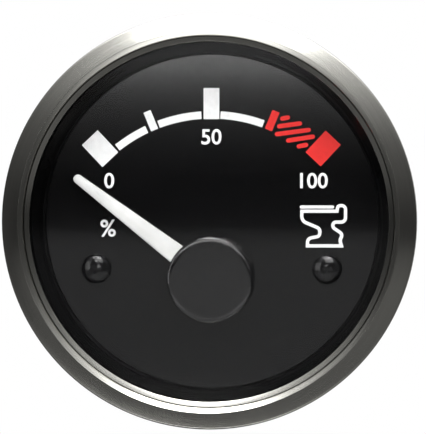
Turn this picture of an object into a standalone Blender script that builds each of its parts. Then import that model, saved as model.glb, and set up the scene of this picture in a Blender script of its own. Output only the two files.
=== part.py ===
"""Waste tank level gauge, a 52 mm panel instrument with an air-core movement.

Metres, +Z up. The gauge looks along -Y. The origin is where the gauge axis meets the front face of the
panel, so everything at negative Y stands in front of the panel and everything at positive Y behind it.
Turned pieces are profiles of (radius, y). Flat pieces are outlines of (x, z) with a front and a rear y.
"""

import math

import bmesh
import bpy
from mathutils import Matrix

MODEL_NAME = "waste_tank_level_gauge"

# Clearances
SEAT_GAP = 0.0002
RUNNING_GAP = 0.00015
SIDE_GAP = 0.0003
BLEND = 0.0004

# Facets of round pieces
RING_STEPS = 48
INNER_RING_STEPS = 32
CAP_STEPS = 32
BODY_STEPS = 24
DIAL_SCREW_STEPS = 20
SHAFT_STEPS = 16
PIN_STEPS = 10
FINE_PIN_STEPS = 8
ARC_STEPS = 3
DOME_STEPS = 5

# Bezel, one spun ring of stainless sheet
BEZEL_SHEET = 0.0006
BEZEL_WINDOW_STEP = 0.0001
BEZEL_LIP_WIDTH = 0.0008
BEZEL_ROLL_WIDTH = 0.00025
BEZEL_ROLL_HEIGHT = 0.00187
BEZEL_ROLL_ROUND = 0.0009
BEZEL_FACE_DROP = 0.0018
BEZEL_SHOULDER_ROUND = 0.00045
BEZEL_REAR_ROUND = 0.0005
BEZEL_CURL_GAP = 0.0006

# Lens and its seal
LENS_THICKNESS = 0.0020
LENS_EDGE_ROUND = 0.0002
SEAL_THICKNESS = 0.0010
SEAL_WIDTH = 0.0022

# Case, one black moulding with a wide head and a narrower body
CASE_WALL = 0.0012
CASE_FLOOR = 0.0012
CASE_REAR_CHAMFER = 0.0010
FLANGE_HEIGHT = 0.0022
HEAD_STEP_HEIGHT = 0.0008
LEDGE_THICKNESS = 0.0010
LEDGE_WIDTH = 0.0017
PAD_RADIUS = 0.0046
PAD_HEIGHT = 0.0008
REAR_SPACE = 0.0065

# Panel gasket
GASKET_THICKNESS = 0.0015
GASKET_INSET = 0.0004

# Spacer ring between lens and dial
SPACER_LIP_WIDTH = 0.0010
SPACER_LIP_STEP = 0.0004
SPACER_TAPER = 0.0004
SPACER_FLARE = 0.0009
SPACER_RIM = 0.0005
SPACER_THROAT_HEIGHT = 0.0018
SPACER_LIP_HEIGHT = 0.0005

# Dial plate and its screws
DIAL_THICKNESS = 0.0008
DIAL_HOLE_ROOM = 0.0006
DIAL_SCREW_INSET = 0.0044
DIAL_SCREW_ANGLE_DEG = -22.4
DIAL_SCREW_HEAD_RADIUS = 0.00228
DIAL_SCREW_HEAD_HEIGHT = 0.0013
DIAL_SCREW_RADIUS = 0.0010
DIAL_SCREW_LENGTH = 0.0060
RECESS_WIDTH = 0.0006
RECESS_LENGTH = 0.0024
RECESS_DEPTH = 0.0007

# Pointer
PIVOT_DROP = 0.0088
POINTER_SWEEP_DEG = 105.8
POINTER_TIP_INSET = 0.0008
POINTER_TIP_WIDTH = 0.00137
POINTER_ROOT_WIDTH = 0.0030
POINTER_THICKNESS = 0.0007
POINTER_EDGE_ROUND = 0.00012
HUB_DISC_GAP = 0.0005
HUB_DISC_THICKNESS = 0.0010
HUB_SLEEVE_RADIUS = 0.0016
HUB_SLEEVE_LENGTH = 0.0024
HUB_BORE_DEPTH = 0.0031
HUB_CAP_RADIUS = 0.0065
HUB_CAP_ROUND = 0.0006
HUB_CAP_TOP = 0.0009
HUB_CAP_WALL = 0.0006
HUB_CAP_HEIGHT = 0.0027
LENS_TO_CAP = 0.0004
WEIGHT_THICKNESS = 0.0007
WEIGHT_SPACE = 0.0008
WEIGHT_ANGLE_DEG = 110.0

# Movement: spindle, rotor magnet and stop arm in a two-piece bobbin wound with crossed coils
BUSH_SPACE = 0.0012
SPINDLE_RADIUS = 0.0006
SPINDLE_POINT = 0.0005
ROTOR_RADIUS = 0.0050
ROTOR_THICKNESS = 0.0030
STOP_ARM_LENGTH = 0.0043
STOP_ARM_WIDTH = 0.0012
STOP_ARM_THICKNESS = 0.0008
STOP_ARM_HUB_RADIUS = 0.0016
STOP_POST_RADIUS = 0.0006
STOP_POST_ORBIT = 0.0036
BOBBIN_WALL = 0.0006
BOBBIN_WEB = 0.0016
BOBBIN_POST_SIDE = 0.0021
BOBBIN_POST_PROUD = 0.0004
BOBBIN_CHAMBER_GAP = 0.0005
BOBBIN_BOSS_RADIUS = 0.0019
BOBBIN_BOSS_LENGTH = 0.0028
COIL_WIDTH = 0.0034
COIL_BOSS_GAP = 0.0004
COIL_THICKNESS = 0.0011
COIL_CORNER = 0.0013
BUSH_RADIUS = 0.0012
BUSH_LENGTH = 0.0030
BUSH_FLANGE_RADIUS = 0.0017
BUSH_FLANGE_THICKNESS = 0.0004
THRUST_CUP_FLOOR = 0.0012
THRUST_CUP_DEPTH = 0.0016
THRUST_CUP_INSET = 0.0001
SHIELD_WALL = 0.0005
SHIELD_HOLE_RADIUS = 0.0009
SHIELD_SEAT_WIDTH = 0.0014
RETURN_MAGNET_LENGTH = 0.0040
RETURN_MAGNET_WIDTH = 0.0018
RETURN_MAGNET_HEIGHT = 0.0011
COIL_PIN_RADIUS = 0.00035
COIL_PIN_SEAT = 0.0030

# Light box, the white inner carrier
LIGHT_BOX_WALL = 0.0010
LIGHT_BOX_FLOOR = 0.0012
LIGHT_BOX_SPACE = 0.0023
DIAL_BOSS_RADIUS = 0.0026
BOARD_BOSS_RADIUS = 0.0024
BOARD_BOSS_HEIGHT = 0.0045

# Circuit board and what it carries
BOARD_INSET = 0.0026
BOARD_THICKNESS = 0.0016
BOARD_SCREW_INSET = 0.0046
BOARD_SCREW_ANGLE_DEG = 24.7
BOARD_SCREW_RADIUS = 0.0010
BOARD_SCREW_LENGTH = 0.0050
BOARD_SCREW_HEAD_RADIUS = 0.0019
BOARD_SCREW_HEAD_HEIGHT = 0.0012
LED_X = 0.0095
LED_Z = 0.0120
LED_RADIUS = 0.0015
LED_FLANGE_RADIUS = 0.0019
LED_FLANGE_HEIGHT = 0.0008
LED_LENGTH = 0.0045
RESISTOR_SPAN = 0.0100
RESISTOR_BODY_LENGTH = 0.0060
RESISTOR_BODY_RADIUS = 0.0012
RESISTOR_RISE = 0.0016
RESISTOR_Z = -0.0045
DIODE_Z = 0.0045
DIODE_BODY_RADIUS = 0.0013
LEAD_RADIUS = 0.0003
CAPACITOR_X = -0.0090
CAPACITOR_Z = 0.0120
CAPACITOR_RADIUS = 0.0025
CAPACITOR_HEIGHT = 0.0048

# Terminals on the rear wall
TERMINAL_RADIUS = 0.0020
TERMINAL_LENGTH = 0.0130
TERMINAL_HEAD_RADIUS = 0.0036
TERMINAL_HEAD_HEIGHT = 0.0020
TERMINAL_PIN_RADIUS = 0.0012
TERMINAL_TIP_CHAMFER = 0.0004
SIGNAL_INSET = 0.0096
POWER_INSET = 0.0069
POWER_ANGLE_DEG = -49.6
TERMINAL_WASHER_RADIUS = 0.0040
TERMINAL_WASHER_THICKNESS = 0.0008
TERMINAL_NUT_FLATS = 0.0070
TERMINAL_NUT_HEIGHT = 0.0032
NUT_CHAMFER = 0.0004

# Clamp: two studs, a U-shaped bracket, lock washers and knurled nuts
MOUNT_STUD_INSET = 0.0076
MOUNT_STUD_RADIUS = 0.0020
MOUNT_STUD_LENGTH = 0.0205
MOUNT_STUD_HEAD_RADIUS = 0.0036
MOUNT_STUD_HEAD_HEIGHT = 0.0022
BRACKET_SHEET = 0.0015
BRACKET_WIDTH = 0.0140
BRACKET_SIDE_ROOM = 0.0020
BRACKET_ROOM = 0.0056
BRACKET_BEND = 0.0022
BRACKET_FOOT_Y = 0.0060
BRACKET_TOOTH_DEPTH = 0.0008
BRACKET_TOOTH_WIDTH = 0.0050
BRACKET_HOLE_RADIUS = 0.0023
CLAMP_WASHER_RADIUS = 0.0044
CLAMP_WASHER_THICKNESS = 0.0010
CLAMP_NUT_RADIUS = 0.0062
CLAMP_NUT_FLUTES = 22
CLAMP_NUT_FLUTE_DEPTH = 0.0005
CLAMP_NUT_HEIGHT = 0.0040
CLAMP_NUT_COLLAR_RADIUS = 0.0045
CLAMP_NUT_COLLAR_HEIGHT = 0.0015
CLAMP_NUT_EDGE = 0.0003

# Finishes: colour, roughness, metallic
STAINLESS = ((0.62, 0.62, 0.60), 0.26, 1.0)
ZINC_STEEL = ((0.55, 0.56, 0.57), 0.38, 1.0)
BRASS = ((0.72, 0.52, 0.22), 0.32, 1.0)
COPPER_WIRE = ((0.66, 0.29, 0.12), 0.40, 0.8)
MAGNET = ((0.13, 0.13, 0.14), 0.45, 0.7)
BLACK_MOULDING = ((0.016, 0.016, 0.017), 0.42, 0.0)
BLACK_MATTE = ((0.012, 0.012, 0.013), 0.62, 0.0)
BLACK_SCREW = ((0.020, 0.020, 0.021), 0.28, 0.6)
BLACK_RUBBER = ((0.020, 0.020, 0.020), 0.80, 0.0)
WHITE_MOULDING = ((0.86, 0.86, 0.84), 0.45, 0.0)
NATURAL_NYLON = ((0.72, 0.69, 0.60), 0.50, 0.0)
GLASS = ((0.93, 0.95, 0.95), 0.03, 0.0)
BOARD_GREEN = ((0.03, 0.17, 0.08), 0.45, 0.0)
LED_CLEAR = ((0.90, 0.88, 0.70), 0.10, 0.0)
RESISTOR_TAN = ((0.62, 0.48, 0.30), 0.50, 0.0)
DIODE_BLACK = ((0.03, 0.03, 0.03), 0.40, 0.0)
CAPACITOR_SLEEVE = ((0.05, 0.06, 0.16), 0.35, 0.0)

# Stations along the axis, from the panel's front face forwards
bezel_rear_y = -GASKET_THICKNESS - SEAT_GAP
flange_rear_y = bezel_rear_y - BEZEL_SHEET - SEAT_GAP
case_front_y = flange_rear_y - FLANGE_HEIGHT
seal_rear_y = case_front_y - SEAT_GAP
seal_front_y = seal_rear_y - SEAL_THICKNESS
lens_rear_y = seal_front_y - SEAT_GAP
lens_front_y = lens_rear_y - LENS_THICKNESS
lip_rear_y = lens_front_y - SEAT_GAP
lip_front_y = lip_rear_y - BEZEL_SHEET
shoulder_y = -SEAT_GAP
ledge_y = shoulder_y - LEDGE_THICKNESS
dial_rear_y = ledge_y - SEAT_GAP
dial_front_y = dial_rear_y - DIAL_THICKNESS
head_step_y = case_front_y + HEAD_STEP_HEIGHT
cap_front_y = lens_rear_y + LENS_TO_CAP
cap_ceiling_y = cap_front_y + HUB_CAP_TOP
cap_rear_y = cap_front_y + HUB_CAP_HEIGHT
hub_front_y = cap_ceiling_y + SEAT_GAP
hub_disc_rear_y = hub_front_y + HUB_DISC_THICKNESS
sleeve_rear_y = hub_disc_rear_y + HUB_SLEEVE_LENGTH

# The movement, from its rotor outwards. The can's bore is rounded up to a tenth of a millimetre.
chamber_radius = ROTOR_RADIUS + BOBBIN_CHAMBER_GAP
chamber_half_depth = ROTOR_THICKNESS / 2 + BOBBIN_CHAMBER_GAP
stop_chamber_depth = chamber_half_depth + STOP_ARM_THICKNESS + 2 * SIDE_GAP
bobbin_half_side = chamber_radius + BOBBIN_WALL
bobbin_half_depth = stop_chamber_depth + BOBBIN_WEB
bobbin_boss_reach = bobbin_half_depth + BOBBIN_BOSS_LENGTH
cosine_coil_depth = bobbin_half_depth + SEAT_GAP
sine_coil_depth = cosine_coil_depth + COIL_THICKNESS + SEAT_GAP
bobbin_post_depth = sine_coil_depth + COIL_THICKNESS + BOBBIN_POST_PROUD
coil_offset = BOBBIN_BOSS_RADIUS + COIL_BOSS_GAP + COIL_WIDTH / 2
bobbin_post_foot = coil_offset + COIL_WIDTH / 2 + SEAT_GAP
bobbin_post_reach = bobbin_post_foot + BOBBIN_POST_SIDE
shield_bore_radius = math.ceil(10000 * (math.sqrt(2) * bobbin_post_reach + SIDE_GAP)) / 10000
shield_radius = shield_bore_radius + SHIELD_WALL

# Stations along the axis, from the pointer's sleeve rearwards
bush_front_y = sleeve_rear_y + BUSH_SPACE
bush_seat_y = bush_front_y + BUSH_FLANGE_THICKNESS
boss_front_y = bush_seat_y + SEAT_GAP
movement_y = boss_front_y + bobbin_boss_reach
cup_rear_y = movement_y + bobbin_boss_reach - THRUST_CUP_INSET
cup_bore_end_y = cup_rear_y - THRUST_CUP_FLOOR
light_box_front_y = dial_rear_y + SEAT_GAP
shield_floor_y = movement_y + bobbin_post_depth + SEAT_GAP
shield_rear_y = shield_floor_y + SHIELD_WALL
box_floor_y = shield_rear_y + SEAT_GAP
box_rear_y = box_floor_y + LIGHT_BOX_FLOOR
board_front_y = box_rear_y + SEAT_GAP
board_rear_y = board_front_y + BOARD_THICKNESS
case_floor_y = board_rear_y + REAR_SPACE
case_rear_y = case_floor_y + CASE_FLOOR
pad_y = case_rear_y + PAD_HEIGHT
bridge_front_y = pad_y + BRACKET_ROOM
bridge_rear_y = bridge_front_y + BRACKET_SHEET
clamp_washer_y = bridge_rear_y + SEAT_GAP
clamp_nut_y = clamp_washer_y + CLAMP_WASHER_THICKNESS + SEAT_GAP

# Radii, from the movement outwards: the body comes to 51.6 mm across and the bezel to 62 mm
light_box_bore_radius = PIVOT_DROP + shield_radius + LIGHT_BOX_SPACE
light_box_radius = light_box_bore_radius + LIGHT_BOX_WALL
case_bore_radius = light_box_radius + SIDE_GAP
case_radius = case_bore_radius + CASE_WALL
collar_bore_radius = case_bore_radius + LEDGE_WIDTH
collar_radius = collar_bore_radius + CASE_WALL
dial_radius = collar_bore_radius - SEAT_GAP
spacer_lip_radius = dial_radius - SPACER_LIP_WIDTH
spacer_wall_radius = spacer_lip_radius + SPACER_LIP_STEP
spacer_throat_radius = spacer_wall_radius + SPACER_TAPER
spacer_window_radius = spacer_throat_radius + SPACER_FLARE
spacer_flange_radius = spacer_window_radius + SPACER_RIM
head_bore_radius = spacer_flange_radius + SIDE_GAP
seal_inner_radius = spacer_flange_radius + SIDE_GAP
seal_outer_radius = seal_inner_radius + SEAL_WIDTH
flange_radius = seal_outer_radius + SIDE_GAP
bezel_radius = flange_radius + SIDE_GAP + BEZEL_SHEET
bezel_window_radius = spacer_window_radius + BEZEL_WINDOW_STEP
bezel_curl_radius = collar_radius + BEZEL_CURL_GAP
gasket_radius = bezel_radius - GASKET_INSET
board_radius = case_bore_radius - BOARD_INSET
pointer_length = dial_radius - POINTER_TIP_INSET
dial_hole_radius = HUB_SLEEVE_RADIUS + DIAL_HOLE_ROOM
hub_disc_radius = HUB_CAP_RADIUS - HUB_CAP_WALL - HUB_DISC_GAP
bracket_inner_x = case_radius + BRACKET_SIDE_ROOM
bracket_outer_x = bracket_inner_x + BRACKET_SHEET
pivot_z = -PIVOT_DROP
rest_angle = -math.radians(POINTER_SWEEP_DEG) / 2


def mirrored_pair(radius, angle_deg):
    """Two places (x, z) at a radius and an angle above the horizontal, the left one first."""
    x = radius * math.cos(math.radians(angle_deg))
    z = radius * math.sin(math.radians(angle_deg))
    return [(-x, z), (x, z)]


# Places (x, z) of what comes in pairs or fours
dial_screw_places = mirrored_pair(light_box_bore_radius - DIAL_SCREW_INSET, DIAL_SCREW_ANGLE_DEG)
board_screw_places = mirrored_pair(case_bore_radius - BOARD_SCREW_INSET, BOARD_SCREW_ANGLE_DEG)
mount_stud_places = mirrored_pair(case_bore_radius - MOUNT_STUD_INSET, 0.0)
power_places = mirrored_pair(case_bore_radius - POWER_INSET, POWER_ANGLE_DEG)
terminal_places = {
    "signal": (0.0, case_bore_radius - SIGNAL_INSET),
    "ground": power_places[0],
    "supply": power_places[1],
}
coil_pin_reach = bobbin_post_foot + BOBBIN_POST_SIDE / 2
coil_pin_sides = (-coil_pin_reach, coil_pin_reach)
coil_pin_places = [(x, z) for x in coil_pin_sides for z in coil_pin_sides]

parts = bpy.data.collections.new(MODEL_NAME)
cutters = bpy.data.collections.new("cutters")


def clear_scene():
    """Remove every object of the start-up scene and link the two collections."""
    for obj in list(bpy.data.objects):
        bpy.data.objects.remove(obj, do_unlink=True)
    bpy.context.scene.collection.children.link(parts)
    bpy.context.scene.collection.children.link(cutters)


def finish_material(name, finish):
    """A Principled material of one piece from its colour, roughness and metallic value."""
    colour, roughness, metallic = finish
    material = bpy.data.materials.new(name + "_finish")
    material.use_nodes = True
    shader = material.node_tree.nodes["Principled BSDF"]
    shader.inputs["Base Color"].default_value = (*colour, 1.0)
    shader.inputs["Roughness"].default_value = roughness
    shader.inputs["Metallic"].default_value = metallic
    material.diffuse_color = (*colour, 1.0)
    return material


def place(name, data, finish, location, parent):
    """Link new mesh or curve data as one named piece under its carrier."""
    obj = bpy.data.objects.new(name, data)
    parts.objects.link(obj)
    obj.location = location
    obj.parent = parent
    if finish:
        data.materials.append(finish_material(name, finish))
    return obj


def empty(name, location, parent=None):
    """A carrier that stands on a joint's axis."""
    obj = bpy.data.objects.new(name, None)
    parts.objects.link(obj)
    obj.location = location
    obj.parent = parent
    obj.empty_display_size = 0.005
    return obj


def fillet(corners, steps, closed=False):
    """Points of a profile whose corners (a, b, radius) are rounded by arcs; radius 0 stays sharp."""
    points = []
    count = len(corners)
    for index, (a, b, radius) in enumerate(corners):
        if radius <= 0 or (not closed and index in (0, count - 1)):
            points.append((a, b))
            continue
        before = corners[index - 1]
        after = corners[(index + 1) % count]
        to_before = math.atan2(before[1] - b, before[0] - a)
        to_after = math.atan2(after[1] - b, after[0] - a)
        opening = (to_after - to_before + math.pi) % (2 * math.pi) - math.pi
        half = abs(opening) / 2
        reach = radius / math.tan(half)
        shortest = min(math.dist((a, b), before[:2]), math.dist((a, b), after[:2]))
        reach = min(reach, 0.499 * shortest) if closed else min(reach, 0.999 * shortest)
        radius = reach * math.tan(half)
        bisector = to_before + opening / 2
        centre_distance = radius / math.sin(half)
        centre_a = a + centre_distance * math.cos(bisector)
        centre_b = b + centre_distance * math.sin(bisector)
        turn = math.pi - 2 * half
        start = bisector + math.pi - math.copysign(turn / 2, -opening)
        for step in range(steps + 1):
            angle = start + math.copysign(turn, -opening) * step / steps
            points.append((centre_a + radius * math.cos(angle), centre_b + radius * math.sin(angle)))
    return points


def sharp(*corners):
    """Corners (a, b) written without a radius."""
    return [(a, b, 0.0) for a, b in corners]


def screw_modifier(obj, steps):
    """Turn a profile round the object's own Y axis."""
    screw = obj.modifiers.new("turn", "SCREW")
    screw.axis = "Y"
    screw.steps = steps
    screw.render_steps = steps
    screw.use_merge_vertices = True
    screw.merge_threshold = 1e-6
    screw.use_smooth_shade = True
    screw.use_normal_flip = True


def profile_mesh(name, points, closed):
    """A mesh of edges only, from a profile's points."""
    edges = [(index, index + 1) for index in range(len(points) - 1)]
    if closed:
        edges.append((len(points) - 1, 0))
    mesh = bpy.data.meshes.new(name)
    mesh.from_pydata([(radius, y, 0.0) for radius, y in points], edges, [])
    return mesh


def turned(
    name, corners, finish, parent, centre=(0.0, 0.0), steps=RING_STEPS, on_axis=False, arc_steps=1,
):
    """A turned piece. Its profile runs from the front along the outside to the rear, and back inside."""
    points = fillet(corners, arc_steps, closed=not on_axis)
    mesh = profile_mesh(name, points, closed=not on_axis)
    obj = place(name, mesh, finish, (centre[0], 0.0, centre[1]), parent)
    screw_modifier(obj, steps)
    return obj


def ring(name, inner, outer, front, rear, finish, parent, centre=(0.0, 0.0), steps=RING_STEPS, edge=0.0):
    """A plain turned ring, its corners rounded by edge."""
    corners = [
        (inner, front, edge),
        (outer, front, edge),
        (outer, rear, edge),
        (inner, rear, edge),
    ]
    return turned(name, corners, finish, parent, centre, steps)


def circle(radius, centre=(0.0, 0.0), steps=SHAFT_STEPS):
    """Points of a circle in an outline."""
    turns = [2 * math.pi * index / steps for index in range(steps)]
    return [(centre[0] + radius * math.cos(a), centre[1] + radius * math.sin(a)) for a in turns]


def flat(name, outlines, front, rear, finish, parent, centre=(0.0, 0.0), edge=0.0):
    """A flat piece from outlines of (x, z), the later ones its holes, between two y stations."""
    curve = bpy.data.curves.new(name, "CURVE")
    curve.dimensions = "2D"
    curve.fill_mode = "BOTH"
    curve.extrude = (rear - front) / 2 - edge
    curve.bevel_depth = edge
    curve.bevel_resolution = 0
    curve.offset = -edge
    for outline in outlines:
        spline = curve.splines.new("POLY")
        spline.points.add(len(outline) - 1)
        for point, (x, z) in zip(spline.points, outline):
            point.co = (x, z, 0.0, 1.0)
        spline.use_cyclic_u = True
    obj = place(name, curve, finish, (centre[0], (front + rear) / 2, centre[1]), parent)
    obj.rotation_euler = (math.pi / 2, 0.0, 0.0)
    return obj


def solid_from_curve(obj):
    """The same piece as a mesh object, its caps welded, so that it can be cut or joined."""
    bpy.context.view_layer.update()
    graph = bpy.context.evaluated_depsgraph_get()
    mesh = bpy.data.meshes.new_from_object(obj.evaluated_get(graph))
    shape = bmesh.new()
    shape.from_mesh(mesh)
    bmesh.ops.remove_doubles(shape, verts=shape.verts, dist=1e-7)
    bmesh.ops.recalc_face_normals(shape, faces=shape.faces)
    shape.to_mesh(mesh)
    shape.free()
    name = obj.name
    collections = list(obj.users_collection)
    parent = obj.parent
    local = obj.matrix_local.copy()
    bpy.data.objects.remove(obj, do_unlink=True)
    made = bpy.data.objects.new(name, mesh)
    for collection in collections:
        collection.objects.link(made)
    made.parent = parent
    made.matrix_local = local
    return made


def rods(name, centres, radius, front, rear, steps=SHAFT_STEPS):
    """Helper cylinders along Y, one for each centre, for cutting and joining."""
    shape = bmesh.new()
    for x, z in centres:
        turn = Matrix.Translation((x, (front + rear) / 2, z)) @ Matrix.Rotation(math.pi / 2, 4, "X")
        bmesh.ops.create_cone(
            shape, cap_ends=True, segments=steps, radius1=radius, radius2=radius,
            depth=rear - front, matrix=turn,
        )
    return helper(name, shape)


def add_box(shape, xs, ys, zs):
    """Add one box to a shape, from its low and high x, y and z."""
    middle = Matrix.Translation((sum(xs) / 2, sum(ys) / 2, sum(zs) / 2))
    size = Matrix.Diagonal((xs[1] - xs[0], ys[1] - ys[0], zs[1] - zs[0], 1.0))
    bmesh.ops.create_cube(shape, size=1.0, matrix=middle @ size)


def boxes(name, spans):
    """Helper boxes, each from its low and high x, y and z, for cutting and joining."""
    shape = bmesh.new()
    for xs, ys, zs in spans:
        add_box(shape, xs, ys, zs)
    return helper(name, shape)


def helper(name, shape):
    """Store helper geometry as an object that is left out of renders."""
    mesh = bpy.data.meshes.new(name)
    shape.to_mesh(mesh)
    shape.free()
    obj = bpy.data.objects.new(name, mesh)
    cutters.objects.link(obj)
    hide_helper(obj)
    return obj


def hide_helper(obj):
    """Mark an object as a cutter."""
    obj.hide_render = True
    obj.display_type = "WIRE"


def combine(target, tool, operation):
    """Join a helper to a piece, or cut it away. The helper moves with the piece's carrier."""
    if tool.parent is None:
        tool.parent = target.parent
    modifier = target.modifiers.new(operation.lower() + "_" + tool.name, "BOOLEAN")
    modifier.object = tool
    modifier.operation = operation
    modifier.solver = "EXACT"


def as_tool(obj):
    """Turn a piece into a helper of another piece."""
    for collection in list(obj.users_collection):
        collection.objects.unlink(obj)
    cutters.objects.link(obj)
    hide_helper(obj)
    return obj


def smooth(obj):
    """Shade a round piece smooth, with its edges sharp."""
    obj.data.shade_smooth()
    obj.data.set_sharp_from_angle(angle=math.radians(35))


def sheet_bezel(parent):
    """The bezel: the outer side of the sheet as an open profile, turned and then given its thickness."""
    roll_foot = bezel_window_radius + BEZEL_LIP_WIDTH
    roll_top_y = lip_front_y - BEZEL_ROLL_HEIGHT
    corners = [
        (bezel_window_radius, lip_front_y, 0.0),
        (roll_foot, lip_front_y, 0.0),
        (roll_foot + BEZEL_ROLL_WIDTH, roll_top_y, BEZEL_ROLL_ROUND),
        (bezel_radius, roll_top_y + BEZEL_FACE_DROP, BEZEL_SHOULDER_ROUND),
        (bezel_radius, bezel_rear_y, BEZEL_REAR_ROUND),
        (bezel_curl_radius, bezel_rear_y, 0.0),
    ]
    mesh = profile_mesh("bezel", fillet(corners, ARC_STEPS), closed=False)
    obj = place("bezel", mesh, STAINLESS, (0.0, 0.0, 0.0), parent)
    screw_modifier(obj, RING_STEPS)
    wall = obj.modifiers.new("sheet", "SOLIDIFY")
    wall.thickness = BEZEL_SHEET
    wall.offset = -1.0
    wall.use_even_offset = True
    wall.use_rim = True
    return obj


def lens_and_seals(parent):
    """The glass, its rubber seal and the gasket that lies on the panel."""
    turned("lens", [
        (0.0, lens_front_y, 0.0),
        (flange_radius, lens_front_y, LENS_EDGE_ROUND),
        (flange_radius, lens_rear_y, LENS_EDGE_ROUND),
        (0.0, lens_rear_y, 0.0),
    ], GLASS, parent, on_axis=True)
    ring(
        "lens_seal", seal_inner_radius, seal_outer_radius, seal_front_y, seal_rear_y,
        BLACK_RUBBER, parent, steps=INNER_RING_STEPS,
    )
    ring(
        "panel_gasket", collar_radius + SIDE_GAP, gasket_radius, -GASKET_THICKNESS, 0.0,
        BLACK_RUBBER, parent,
    )


def case_moulding(parent):
    """The case: a wide head that holds lens and dial, a body through the panel, pads and holes behind."""
    case = turned("case", sharp(
        (head_bore_radius, case_front_y),
        (flange_radius, case_front_y),
        (flange_radius, flange_rear_y),
        (collar_radius, flange_rear_y),
        (collar_radius, shoulder_y),
        (case_radius, shoulder_y),
        (case_radius, case_rear_y - CASE_REAR_CHAMFER),
        (case_radius - CASE_REAR_CHAMFER, case_rear_y),
        (0.0, case_rear_y),
        (0.0, case_floor_y),
        (case_bore_radius, case_floor_y),
        (case_bore_radius, ledge_y),
        (collar_bore_radius, ledge_y),
        (collar_bore_radius, head_step_y),
        (head_bore_radius, head_step_y),
    ), BLACK_MOULDING, parent)
    terminals = list(terminal_places.values())
    pads = rods(
        "case_pads", mount_stud_places + terminals, PAD_RADIUS, case_rear_y - BLEND, pad_y, BODY_STEPS,
    )
    combine(case, pads, "UNION")
    for tool_name, centres, radius in (
        ("case_terminal_holes", terminals, TERMINAL_RADIUS + SEAT_GAP),
        ("case_stud_holes", mount_stud_places, MOUNT_STUD_RADIUS + SEAT_GAP),
    ):
        holes = rods(tool_name, centres, radius, case_floor_y - BLEND, pad_y + BLEND)
        combine(case, holes, "DIFFERENCE")
    return case


def spacer(parent):
    """The black ring that holds the lens off the dial, its bore narrowing in steps to a lip."""
    front = lens_rear_y + SEAT_GAP
    rear = dial_front_y - SEAT_GAP
    flange_rear = head_step_y - SEAT_GAP
    lip_y = rear - SPACER_LIP_HEIGHT
    turned("spacer_ring", sharp(
        (spacer_window_radius, front),
        (spacer_flange_radius, front),
        (spacer_flange_radius, flange_rear),
        (dial_radius, flange_rear),
        (dial_radius, rear),
        (spacer_lip_radius, rear),
        (spacer_lip_radius, lip_y),
        (spacer_wall_radius, lip_y),
        (spacer_throat_radius, front + SPACER_THROAT_HEIGHT),
    ), BLACK_MATTE, parent)


def dial_face(parent):
    """The dial plate with its three holes, and the two domed screws that hold it."""
    holes = [circle(dial_hole_radius, (0.0, pivot_z), BODY_STEPS)]
    holes += [circle(DIAL_SCREW_RADIUS + SEAT_GAP, centre) for centre in dial_screw_places]
    outline = circle(dial_radius, steps=RING_STEPS)
    flat("dial_plate", [outline] + holes, dial_front_y, dial_rear_y, BLACK_MATTE, parent)
    for side, (x, z) in zip(("left", "right"), dial_screw_places):
        dial_screw("dial_screw_" + side, x, z, parent)


def dial_screw(name, x, z, parent):
    """A domed screw with a cross recess."""
    seat_y = dial_front_y - SEAT_GAP
    top_y = seat_y - DIAL_SCREW_HEAD_HEIGHT
    dome = [
        (DIAL_SCREW_HEAD_RADIUS * math.sin(angle), seat_y - DIAL_SCREW_HEAD_HEIGHT * math.cos(angle), 0.0)
        for angle in (math.pi / 2 * index / DOME_STEPS for index in range(DOME_STEPS + 1))
    ]
    tip_y = seat_y + DIAL_SCREW_LENGTH
    screw = turned(name, dome + sharp(
        (DIAL_SCREW_RADIUS, seat_y),
        (DIAL_SCREW_RADIUS, tip_y - DIAL_SCREW_RADIUS),
        (0.0, tip_y),
    ), BLACK_SCREW, parent, (x, z), steps=DIAL_SCREW_STEPS, on_axis=True)
    long = (-RECESS_LENGTH / 2, RECESS_LENGTH / 2)
    short = (-RECESS_WIDTH / 2, RECESS_WIDTH / 2)
    depth = (top_y - BLEND, top_y + RECESS_DEPTH)
    across = boxes(name + "_recess_across", [(long, depth, short)])
    upright = boxes(name + "_recess_upright", [(short, depth, long)])
    for tool in (across, upright):
        tool.location = (x, 0.0, z)
        combine(screw, tool, "DIFFERENCE")


def pointer_group(parent):
    """All that turns with the pointer, modelled pointing up and turned to rest by its carrier."""
    axis = empty("pointer_axis", (0.0, 0.0, pivot_z), parent)
    axis.rotation_euler = (0.0, rest_angle, 0.0)
    pointer_moulding(axis)
    hub_cap(axis)
    balance_weight(axis)
    spindle_and_rotor(axis)


def blade_half_width(distance):
    """Half the blade's width at a distance from the pivot."""
    share = (distance - HUB_CAP_RADIUS) / (pointer_length - HUB_CAP_RADIUS)
    return (POINTER_ROOT_WIDTH + (POINTER_TIP_WIDTH - POINTER_ROOT_WIDTH) * share) / 2


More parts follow.
